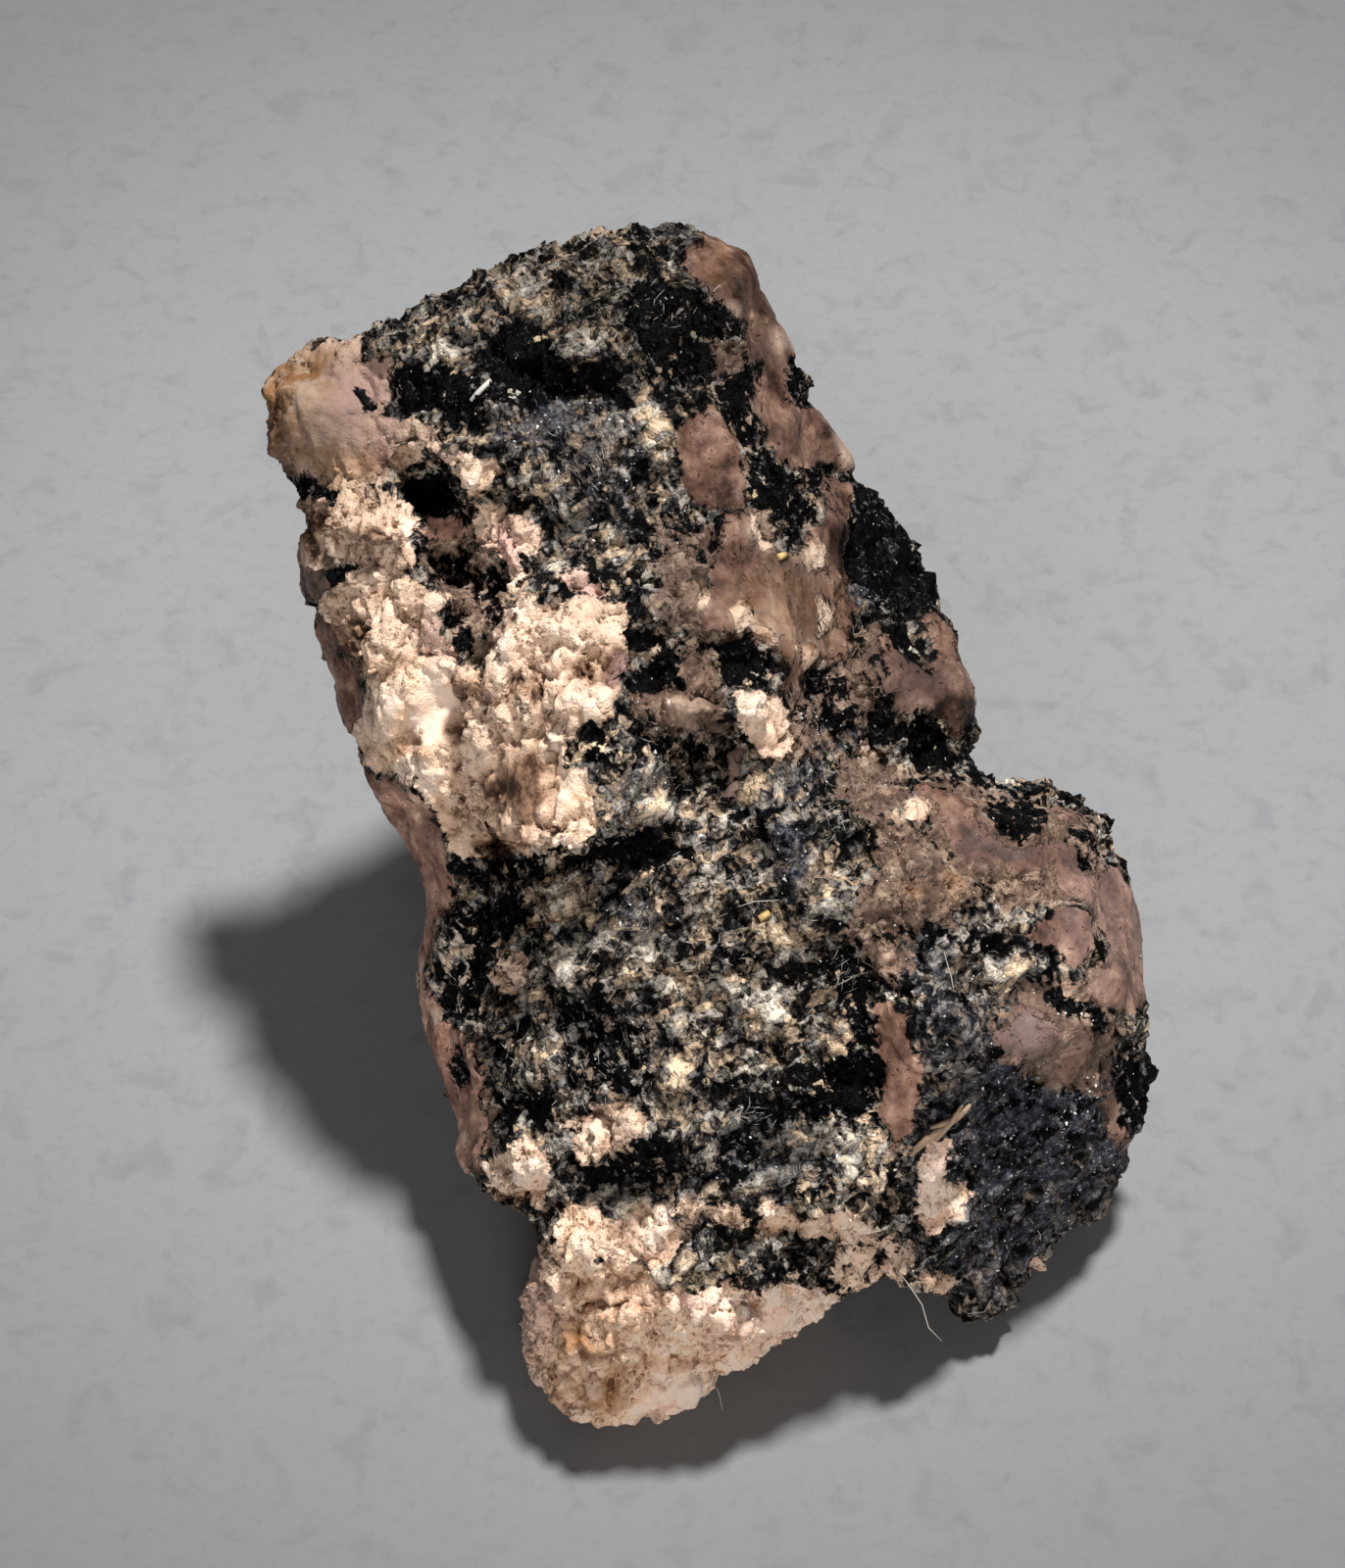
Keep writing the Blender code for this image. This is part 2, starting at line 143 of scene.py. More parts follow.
# Outlines of the larger finishes on the face: strength, then the corners
finishOutlines = {
    "pink": [  # crystal masses, pink to peach
        (1.0, [(-12.9, 13.6), (-12.3, 14.6), (-11.2, 15.0), (-10.5, 15.3), (-9.9, 15.1), (-10.0, 14.4),
               (-9.0, 14.4), (-9.1, 13.6), (-9.2, 12.8), (-8.8, 12.6), (-8.4, 12.8), (-7.5, 12.4),
               (-7.5, 11.9), (-8.2, 11.5), (-7.6, 11.2), (-9.2, 11.1), (-9.4, 10.7), (-11.0, 10.5),
               (-12.0, 10.9), (-12.9, 11.0), (-13.3, 12.4)]),
        (0.95, [(-7.6, 11.4), (-6.9, 11.7), (-5.8, 11.4), (-5.6, 11.0), (-6.4, 10.2), (-7.0, 10.1),
                (-7.0, 11.0)]),
        (0.95, [(-12.4, 10.3), (-11.3, 10.4), (-10.0, 10.7), (-9.2, 10.5), (-8.4, 10.1), (-8.0, 9.6),
                (-8.2, 8.9), (-8.1, 8.2), (-9.0, 8.0), (-10.0, 8.3), (-11.0, 8.0), (-12.2, 8.2),
                (-12.5, 9.4)]),
        (0.95, [(-6.6, 10.0), (-5.9, 10.0), (-5.0, 9.7), (-4.2, 9.3), (-4.4, 8.7), (-5.1, 8.5),
                (-4.9, 8.0), (-5.2, 7.5), (-5.9, 8.0), (-6.4, 8.8), (-6.6, 9.4)]),
        (1.0, [(-10.2, 8.3), (-9.4, 8.4), (-8.6, 8.0), (-7.9, 7.4), (-6.9, 7.5), (-7.6, 6.6), (-7.4, 6.0),
               (-6.9, 5.3), (-6.2, 5.0), (-5.0, 5.0), (-4.5, 3.5), (-5.0, 0.0), (-5.6, -0.5),
               (-6.5, -0.8), (-7.3, -0.6), (-7.6, 0.6), (-8.6, 1.6), (-10.0, 2.0), (-10.2, 2.9),
               (-9.6, 4.4), (-10.2, 5.4), (-10.9, 6.0), (-11.2, 7.0)]),
        (1.0, [(-6.1, 5.9), (-5.9, 6.2), (-5.3, 6.5), (-5.3, 7.0), (-4.7, 7.1), (-4.0, 6.9), (-3.2, 7.5),
               (-2.4, 7.2), (-1.9, 7.1), (-1.8, 6.0), (-1.5, 5.2), (-2.0, 4.6), (-2.1, 3.6), (-2.6, 3.2),
               (-3.4, 3.2), (-3.8, 2.0), (-3.0, 1.9), (-2.9, 1.2), (-2.8, 0.3), (-2.6, -0.1),
               (-3.4, -0.5), (-4.8, -0.7), (-5.6, -0.5), (-5.9, 0.5), (-6.1, 1.5), (-6.0, 3.0),
               (-6.3, 4.6), (-6.2, 5.3)]),
        (0.9, [(-3.9, 7.9), (-3.2, 8.1), (-2.4, 7.7), (-2.3, 7.2), (-3.0, 7.2), (-3.7, 7.4)]),
        (1.0, [(1.5, 4.3), (2.3, 4.4), (2.9, 4.1), (3.4, 3.7), (3.4, 2.9), (2.9, 2.4), (2.3, 2.4),
               (1.8, 2.9), (1.6, 3.4)]),
        (1.0, [(-0.8, 3.5), (-0.6, 4.2), (0.0, 4.4), (0.4, 4.1), (0.5, 3.6), (0.1, 3.2), (-0.6, 3.2)]),
        (0.95, [(0.1, 5.6), (0.8, 5.4), (1.1, 4.8), (1.0, 4.2), (0.6, 3.6), (0.3, 4.2), (0.1, 4.9)]),
        (0.95, [(-6.1, -4.7), (-5.9, -4.0), (-5.3, -3.6), (-4.9, -3.9), (-5.0, -4.6), (-5.5, -4.9)]),
        (0.9, [(-3.8, -8.9), (-3.0, -8.3), (-1.9, -8.2), (-1.2, -8.6), (-1.3, -9.4), (-2.1, -9.9),
               (-2.9, -10.3), (-3.6, -10.0), (-3.3, -9.4)]),
        (0.95, [(-5.6, -9.6), (-4.8, -9.3), (-4.3, -9.9), (-4.2, -10.8), (-4.3, -11.5), (-5.2, -11.5),
                (-6.1, -11.0), (-6.2, -10.2)]),
        (0.85, [(-4.2, -12.6), (-3.9, -11.3), (-3.0, -11.2), (-2.2, -11.8), (-1.4, -11.3), (-0.4, -11.6),
                (0.2, -12.2), (-0.2, -12.9), (-1.0, -13.4), (-1.9, -13.2), (-2.6, -12.9), (-3.4, -13.2)]),
        (1.0, [(-4.2, -12.5), (-5.0, -13.1), (-5.4, -14.0), (-5.3, -15.0), (-5.2, -16.0), (-5.2, -16.8),
               (-4.4, -17.8), (-3.4, -18.6), (-2.0, -18.8), (-0.6, -18.5), (0.5, -17.9), (1.1, -17.1),
               (2.0, -16.6), (2.8, -16.5), (2.9, -16.0), (4.0, -15.6), (5.0, -14.7), (5.0, -14.2),
               (4.0, -14.0), (3.0, -13.9), (2.2, -14.0), (1.2, -13.7), (0.4, -14.0), (-0.4, -14.0),
               (-0.8, -14.1), (-1.2, -13.3), (-2.2, -13.1), (-3.3, -12.9)]),
        (0.9, [(2.1, -11.1), (2.8, -11.2), (3.4, -11.8), (4.2, -11.7), (5.0, -11.6), (5.8, -11.8),
               (6.0, -12.4), (6.8, -12.6), (7.0, -13.2), (6.8, -14.1), (5.6, -14.3), (4.8, -14.2),
               (4.4, -13.4), (4.6, -12.6), (3.6, -12.5), (2.7, -12.5), (2.2, -12.2)]),
        (1.0, [(7.5, -9.4), (8.0, -9.3), (7.9, -10.2), (8.0, -10.8), (8.7, -10.8), (8.6, -11.2),
               (8.1, -11.7), (7.9, -12.1), (7.3, -12.3), (7.1, -11.9), (7.2, -11.0), (6.9, -10.6),
               (7.1, -9.9)]),
        (0.8, [(7.2, -13.4), (8.0, -13.3), (8.6, -13.7), (8.1, -14.1), (7.3, -14.2)]),
        (1.0, [(10.7, -13.1), (11.1, -13.2), (11.0, -13.8), (10.6, -13.7)]),
        (0.8, [(5.1, 3.0), (5.8, 2.9), (6.1, 2.4), (5.4, 2.2)]),
        (1.0, [(1.9, 9.9), (2.4, 10.1), (2.8, 9.6), (2.8, 8.9), (2.3, 8.6), (1.9, 9.1)]),
        (0.9, [(3.4, 8.9), (3.9, 9.3), (4.3, 8.8), (4.2, 8.0), (3.7, 7.7), (3.4, 8.2)]),
        (0.9, [(1.2, 6.8), (1.6, 7.2), (2.1, 7.1), (2.2, 6.6), (2.7, 6.3), (2.9, 5.8), (2.4, 5.9),
               (1.9, 6.1), (1.4, 5.9)]),
        (0.75, [(3.7, 7.4), (4.2, 7.5), (4.6, 6.9), (4.5, 6.1), (4.1, 5.7), (3.8, 6.0), (3.9, 6.6)]),
        (0.9, [(3.2, 5.8), (3.8, 5.9), (4.1, 5.4), (3.8, 4.9), (3.3, 5.0)]),
        (0.8, [(-0.4, 8.0), (0.6, 7.8), (1.0, 7.3), (0.6, 6.8), (-0.2, 6.9), (-0.6, 7.4)]),
        (0.9, [(6.6, 1.0), (7.4, 1.1), (7.9, 0.7), (7.3, 0.3), (6.7, 0.4)]),
        (0.7, [(-1.2, -11.2), (0.4, -11.3), (1.6, -11.2), (2.2, -12.0), (1.2, -12.6), (0.2, -12.2)]),
    ],
    "coat": [  # smooth brown-pink skin
        (1.0, [(0.9, 13.5), (1.3, 12.9), (1.6, 12.0), (1.7, 11.2), (1.8, 10.6), (1.9, 9.9), (1.0, 9.9),
               (0.2, 10.2), (0.0, 11.0), (-0.3, 11.6), (-0.4, 12.2), (0.1, 12.7), (0.5, 13.2)]),
        (0.95, [(0.0, 17.9), (0.9, 18.6), (1.9, 17.7), (2.7, 16.2), (3.0, 15.4), (2.2, 15.2), (1.8, 15.5),
                (1.3, 15.9), (0.8, 16.5), (0.3, 17.0), (-0.1, 17.3)]),
        (1.0, [(2.1, 15.9), (2.6, 15.8), (3.3, 15.0), (3.3, 14.2), (3.05, 13.8), (3.3, 13.2), (4.1, 12.9),
               (4.7, 12.3), (5.1, 11.5), (5.1, 10.9), (4.2, 11.3), (3.9, 11.2), (3.2, 11.1), (2.8, 11.6),
               (2.5, 12.2), (2.1, 12.7), (2.0, 13.6), (2.2, 14.2), (1.9, 14.9), (1.6, 15.3),
               (1.8, 15.7)]),
        (0.8, [(1.0, 9.9), (1.9, 9.9), (2.2, 9.0), (2.9, 8.7), (3.3, 8.6), (3.6, 9.3), (4.2, 9.7),
               (4.2, 10.9), (5.2, 10.6), (5.2, 10.0), (5.0, 9.0), (5.1, 8.0), (5.0, 7.3), (5.6, 6.8),
               (5.6, 6.4), (5.2, 6.2), (4.9, 5.2), (4.5, 5.1), (4.3, 5.4), (3.7, 5.0), (3.4, 4.4),
               (3.3, 4.0), (2.8, 4.2), (3.0, 4.8), (2.8, 5.6), (2.2, 5.9), (1.4, 5.8), (0.9, 6.1),
               (0.5, 5.9), (0.3, 6.6), (0.8, 7.4), (0.6, 8.0), (0.8, 8.9), (1.1, 9.5)]),
        (1.0, [(6.9, 1.4), (7.3, 1.6), (8.1, 1.2), (8.9, 1.1), (9.0, 0.4), (9.5, 0.0), (10.2, -0.4),
               (11.0, -0.1), (11.5, -0.1), (11.5, -0.8), (10.9, -1.0), (10.2, -1.2), (9.2, -1.0),
               (8.5, -0.7), (8.0, -0.2), (7.9, 0.5), (7.4, 0.9)]),
        (0.9, [(11.1, 0.8), (11.9, 0.8), (12.3, 0.4), (11.8, 0.15), (11.3, 0.3)]),
        (1.0, [(11.3, -0.2), (12.0, -0.1), (12.2, -0.6), (12.4, -1.3), (12.9, -1.0), (13.4, -1.2),
               (13.9, -2.2), (14.2, -3.4), (14.2, -4.6), (13.9, -5.5), (13.2, -5.4), (12.6, -5.4),
               (12.2, -5.1), (12.3, -4.3), (12.7, -3.7), (12.8, -3.2), (12.5, -2.6), (12.3, -2.1),
               (11.6, -1.9), (11.3, -1.5), (11.2, -0.9)]),
        (1.0, [(11.9, -2.2), (12.4, -2.5), (12.6, -3.0), (12.4, -3.6), (11.9, -4.2), (11.4, -3.6),
               (10.7, -3.5), (10.3, -3.1), (11.0, -2.6), (11.2, -2.3)]),
        (1.0, [(5.5, -4.9), (6.0, -5.1), (6.8, -5.5), (6.9, -6.5), (7.3, -7.0), (7.2, -7.9), (7.0, -8.6),
               (6.9, -9.1), (6.2, -9.7), (6.1, -9.0), (5.8, -8.6), (5.9, -7.9), (6.2, -7.3), (5.8, -6.6),
               (5.7, -5.9)]),
        (0.95, [(12.2, -5.9), (12.6, -6.4), (12.3, -7.0), (11.7, -7.6), (11.3, -7.4), (11.3, -6.8),
                (11.8, -6.2)]),
        (0.85, [(10.2, -5.1), (10.9, -5.4), (11.6, -6.0), (11.2, -6.6), (10.6, -6.9), (9.9, -7.1),
                (9.3, -6.6), (9.2, -6.1), (9.9, -5.6)]),
        (0.75, [(12.9, -7.4), (13.5, -8.4), (13.8, -9.7), (13.1, -9.9), (12.8, -9.0), (12.7, -8.2)]),
        (0.78, [(5.9, 4.5), (5.9, 5.2), (5.6, 6.0), (6.3, 6.1), (6.6, 5.6), (7.5, 5.0), (7.5, 5.8),
                (7.0, 6.7), (7.5, 7.1), (8.1, 6.3), (8.7, 5.3), (9.0, 4.5), (8.9, 3.6), (8.3, 2.8),
                (7.6, 3.0), (7.8, 3.6), (6.9, 3.6), (6.2, 3.9)]),
        (0.9, [(1.2, 2.6), (1.8, 2.6), (1.7, 1.8), (1.6, 0.9), (1.2, 0.8), (1.1, 1.6)]),
        (0.75, [(-5.8, 2.2), (-5.2, 2.8), (-4.6, 2.6), (-4.4, 1.6), (-4.5, 0.7), (-5.2, 0.5),
                (-5.8, 1.0)]),
        (1.0, [(-10.0, 2.0), (-8.6, 1.5), (-7.6, 0.7), (-7.3, -0.5), (-7.2, -1.2), (-7.0, -2.2),
               (-7.6, -2.6), (-7.7, -3.4), (-7.9, -4.2), (-7.8, -4.9), (-7.3, -5.7), (-6.6, -6.3),
               (-6.2, -7.0), (-6.0, -8.4), (-6.1, -9.6), (-6.3, -10.6), (-7.2, -9.9), (-7.9, -8.8),
               (-8.7, -7.8), (-8.9, -6.5), (-9.3, -5.2), (-8.9, -3.0), (-9.0, -1.5), (-9.6, 0.3)]),
        (0.85, [(-12.7, 9.2), (-12.4, 8.1), (-11.6, 7.2), (-10.8, 6.9), (-10.5, 7.6), (-11.2, 8.4),
                (-11.6, 9.2)]),
        (0.85, [(-11.4, 6.6), (-11.5, 5.2), (-10.8, 4.2), (-10.4, 3.0), (-9.7, 2.7), (-9.6, 4.3),
                (-10.1, 5.2), (-10.4, 6.0)]),
        (0.9, [(-8.1, 9.9), (-7.2, 9.8), (-6.7, 9.7), (-6.6, 9.0), (-7.4, 8.9), (-8.0, 8.8)]),
    ],
    "haze": [  # brown film that lets the grains show
        (0.88, [(-8.0, 8.8), (-6.6, 8.9), (-5.6, 7.9), (-5.1, 6.6), (-5.9, 5.5), (-7.4, 5.6), (-7.2, 7.3),
                (-8.1, 7.9)]),
        (1.0, [(0.8, 15.0), (1.8, 14.9), (1.6, 14.1), (1.0, 14.1)]),
        (1.0, [(6.0, 0.3), (7.2, 0.1), (8.0, -0.6), (8.6, -1.2), (9.0, -1.8), (8.6, -2.4), (8.0, -2.8),
               (7.4, -2.6), (7.0, -3.4), (6.2, -3.3), (5.6, -3.0), (5.0, -2.6), (5.2, -1.9), (5.9, -1.5),
               (5.8, -0.5)]),
        (1.0, [(4.6, -3.3), (5.2, -3.0), (6.2, -3.3), (6.9, -3.9), (6.4, -4.6), (5.7, -4.3),
               (5.2, -3.6)]),
        (1.0, [(4.8, 2.2), (6.0, 2.2), (6.9, 1.2), (6.0, 0.4), (5.2, 0.6), (4.6, 1.4)]),
        (1.0, [(9.6, -1.3), (11.0, -1.2), (11.3, -1.8), (10.6, -2.3), (9.8, -2.3)]),
        (0.8, [(-0.9, 9.2), (0.9, 9.6), (0.7, 7.4), (0.4, 5.8), (-0.6, 6.2), (-1.2, 7.4)]),
        (0.8, [(-1.4, 5.3), (-0.4, 5.9), (0.8, 5.7), (1.3, 4.6), (1.4, 3.2), (0.4, 2.8), (-0.8, 3.0),
               (-1.5, 3.8)]),
        (0.85, [(3.2, 4.6), (4.6, 5.2), (5.8, 6.6), (6.0, 5.0), (5.6, 3.4), (4.6, 2.6), (3.4, 2.4)]),
        (0.8, [(7.0, 1.7), (9.4, 1.5), (12.2, 0.7), (12.8, -1.0), (12.2, -2.2), (10.4, -2.2), (8.6, -1.6),
               (7.6, -0.2)]),
        (0.9, [(10.4, -4.6), (12.4, -4.4), (13.4, -6.4), (12.8, -8.0), (11.4, -7.8), (10.0, -7.2),
               (9.2, -6.0)]),
        (0.7, [(1.6, 14.6), (2.4, 13.4), (2.4, 12.2), (1.7, 11.2), (1.6, 12.6), (1.2, 13.6)]),
        (1.0, [(-13.3, 12.2), (-12.9, 11.0), (-12.4, 10.3), (-12.0, 10.8), (-12.4, 11.5), (-12.6, 12.4)]),
    ],
    "black": [  # bare black matrix, and painted shade in the vug, hollows, a crack and under the ledge
        (1.9, [(5.2, 10.8), (6.4, 10.4), (7.2, 9.4), (7.8, 8.1), (7.8, 7.4), (7.3, 7.0), (6.6, 6.8),
               (6.1, 7.2), (5.6, 7.7), (5.1, 8.0), (5.0, 8.6), (5.1, 9.6), (5.2, 10.2)]),
        # painted shade in the vug: its mouth and the hollow below it are painted black
        (0.9, [(-8.9, 10.9), (-8.2, 11.1), (-7.0, 11.0), (-7.0, 10.2), (-6.8, 9.9), (-7.6, 10.0),
               (-8.4, 10.2), (-8.9, 10.4)]),
        (0.56, [(-8.0, 8.8), (-6.6, 8.9), (-6.4, 8.4), (-5.6, 7.9), (-5.2, 7.2), (-5.4, 6.4), (-6.0, 6.0),
                (-6.8, 6.9), (-6.9, 7.5), (-7.7, 7.5), (-8.1, 7.9)]),
        (0.62, [(-7.6, 6.7), (-6.8, 6.8), (-6.1, 6.0), (-6.4, 5.4), (-7.0, 5.4), (-7.4, 6.0)]),
        # painted shade in a notch
        (0.9, [(-12.1, 10.8), (-11.2, 10.6), (-11.0, 10.3), (-11.8, 10.2)]),
        (1.15, [(-6.2, 14.7), (-5.2, 15.9), (-4.6, 15.4), (-4.2, 14.8), (-3.4, 14.3), (-2.6, 14.4),
                (-1.8, 13.6), (-1.5, 13.0), (-2.6, 13.2), (-4.0, 13.3), (-5.2, 13.1), (-6.0, 13.2),
                (-6.1, 13.9)]),
        (1.0, [(-8.9, 14.2), (-7.4, 14.3), (-6.3, 13.8), (-6.2, 12.6), (-7.0, 12.3), (-7.6, 12.9),
               (-8.8, 12.9)]),
        (0.7, [(-1.6, 17.2), (0.2, 16.9), (0.8, 16.4), (0.6, 15.6), (1.9, 15.9), (1.9, 15.3), (0.9, 14.9),
               (1.0, 14.2), (0.0, 13.6), (-1.4, 13.9), (-1.3, 15.0), (-2.1, 15.9)]),
        (0.75, [(1.0, 14.0), (1.9, 14.2), (2.0, 13.5), (2.3, 12.6), (2.6, 12.0), (2.2, 11.8), (1.8, 11.4),
                (1.7, 12.0), (1.3, 12.9), (0.9, 13.5)]),
        (0.78, [(1.8, 11.3), (2.3, 11.9), (2.6, 11.6), (3.1, 11.1), (3.9, 10.9), (3.3, 10.4), (4.0, 10.1),
                (4.1, 9.5), (3.6, 9.3), (3.3, 8.6), (3.0, 9.0), (3.0, 9.9), (2.1, 9.9), (1.8, 10.4)]),
        (0.35, [(-1.5, 9.6), (0.2, 10.0), (0.8, 9.4), (0.6, 8.0), (0.2, 7.5), (-1.2, 7.6)]),
        (0.5, [(-2.8, 8.2), (-1.2, 8.4), (-0.6, 7.6), (-2.2, 7.4)]),
        (1.0, [(1.1, 5.6), (1.9, 5.9), (2.6, 5.6), (2.8, 5.1), (2.2, 4.7), (1.5, 4.5), (1.1, 4.9)]),
        (0.85, [(-1.7, 6.1), (-0.9, 6.1), (-0.2, 5.4), (0.0, 4.6), (-0.9, 4.2), (-1.6, 4.4),
                (-1.4, 5.2)]),
        (0.55, [(3.7, 5.0), (4.9, 5.1), (5.2, 4.4), (5.5, 3.2), (4.6, 2.8), (3.5, 2.8), (3.3, 3.9)]),
        (1.0, [(6.6, 6.6), (7.4, 5.9), (7.5, 5.3), (6.9, 5.4), (6.4, 5.8)]),
        (0.55, [(5.0, 7.0), (5.8, 6.6), (5.5, 5.3), (5.0, 5.0)]),
        (0.95, [(5.6, 3.6), (6.9, 3.5), (7.8, 3.4), (8.3, 2.6), (8.6, 2.2), (7.2, 2.0), (6.6, 2.9),
                (6.0, 2.9)]),
        (0.75, [(-3.7, 2.7), (-3.0, 3.2), (-2.2, 3.0), (-1.8, 2.4), (-2.4, 1.9), (-3.2, 2.0)]),
        (0.55, [(-1.7, 3.2), (-0.2, 3.0), (1.0, 2.6), (0.6, 1.8), (-0.6, 2.0), (-1.4, 2.4)]),
        # painted shadow under the ledge
        (1.0, [(-6.0, -0.9), (-5.0, -0.8), (-3.6, -0.6), (-2.2, -0.3), (-0.6, -0.2), (0.0, -0.5),
               (-1.0, -1.0), (-2.6, -0.9), (-4.0, -1.0), (-5.2, -1.3), (-6.0, -1.3)]),
        # painted shade in a thin crack
        (0.8, [(1.2, 0.65), (2.6, 0.95), (4.6, 0.95), (4.6, 0.75), (2.8, 0.65), (1.4, 0.45)]),
        # painted shade in the hollows along the left ridge, with black matrix
        (0.75, [(-7.1, -2.4), (-6.2, -2.0), (-5.0, -1.9), (-4.7, -2.7), (-5.6, -3.4), (-6.1, -4.3),
                (-6.2, -5.0), (-6.3, -5.9), (-7.0, -5.9), (-7.7, -5.2), (-7.6, -4.5), (-7.0, -3.8),
                (-7.0, -3.0)]),
        # painted shade in a small hollow
        (0.9, [(-7.2, -6.5), (-6.8, -6.6), (-6.6, -7.7), (-7.0, -7.8)]),
        (0.55, [(-4.0, -4.9), (-2.6, -5.1), (-1.8, -5.6), (-1.0, -6.4), (-0.9, -7.6), (-1.2, -8.2),
                (-2.6, -8.0), (-4.0, -8.3), (-3.9, -6.8)]),
        (0.75, [(-6.1, -7.9), (-4.4, -8.0), (-4.0, -8.4), (-4.2, -9.2), (-5.4, -9.0), (-6.0, -8.7)]),
        (0.4, [(4.4, -12.4), (6.6, -12.6), (6.8, -13.9), (4.8, -14.0)]),
        # partly black matrix, partly painted shade on the floor of the valley
        (0.68, [(3.6, -3.9), (5.0, -3.5), (5.5, -4.3), (5.7, -5.2), (5.8, -6.6), (6.0, -7.4), (5.8, -8.6),
                (4.6, -9.0), (3.2, -8.9), (1.6, -8.9), (1.2, -8.3), (2.6, -7.6), (3.0, -7.0), (4.4, -6.9),
                (4.9, -6.0), (4.6, -5.0), (4.0, -4.6)]),
        (0.6, [(1.0, -9.0), (2.4, -9.2), (2.4, -10.8), (1.0, -11.2), (0.8, -10.2)]),
        (0.7, [(-3.6, -10.3), (-2.0, -9.9), (-1.2, -9.0), (0.0, -9.4), (-0.4, -10.8), (-1.6, -10.9),
               (-3.0, -11.1), (-4.0, -10.8)]),
        (0.5, [(2.0, -12.9), (3.2, -13.1), (4.3, -12.9), (4.5, -13.4), (3.0, -13.9), (2.0, -13.7)]),
        (0.45, [(0.3, -11.4), (1.4, -12.2), (1.2, -13.4), (0.4, -13.8), (0.4, -12.6)]),
        # painted shade in a gully
        (0.75, [(7.6, -2.8), (8.9, -2.9), (10.0, -3.2), (10.0, -3.8), (9.0, -3.9), (7.6, -3.5)]),
        # painted shade in a hollow
        (0.75, [(9.0, 1.1), (10.0, 1.3), (11.0, 1.0), (11.2, 0.4), (10.8, 0.1), (10.2, -0.3),
                (9.4, 0.1)]),
        (0.5, [(7.8, 2.3), (9.0, 2.1), (10.5, 1.9), (12.0, 1.5), (13.0, 0.6), (12.4, 0.4), (11.0, 1.0),
               (10.0, 1.2), (9.0, 1.1), (8.2, 1.3), (7.0, 1.7)]),
        (0.95, [(11.6, -4.7), (12.2, -5.1), (12.8, -5.5), (12.6, -6.0), (11.8, -5.7), (11.0, -5.1)]),
        (0.8, [(11.8, 0.2), (12.4, -0.2), (12.6, -1.0), (12.3, -1.2), (12.1, -0.4), (11.6, -0.1)]),
        (1.4, [(13.2, -7.0), (14.0, -6.8), (14.8, -8.0), (14.3, -9.0), (13.5, -8.7), (13.2, -7.7)]),
        (0.8, [(3.05, 14.2), (3.3, 14.0), (3.7, 13.1), (3.2, 13.3)]),
        (0.9, [(-10.1, 13.6), (-9.7, 13.6), (-9.5, 13.1), (-9.9, 12.9)]),
        (0.7, [(6.4, -2.8), (7.4, -2.9), (7.2, -4.4), (6.9, -4.8), (6.9, -3.6)]),
    ],
}

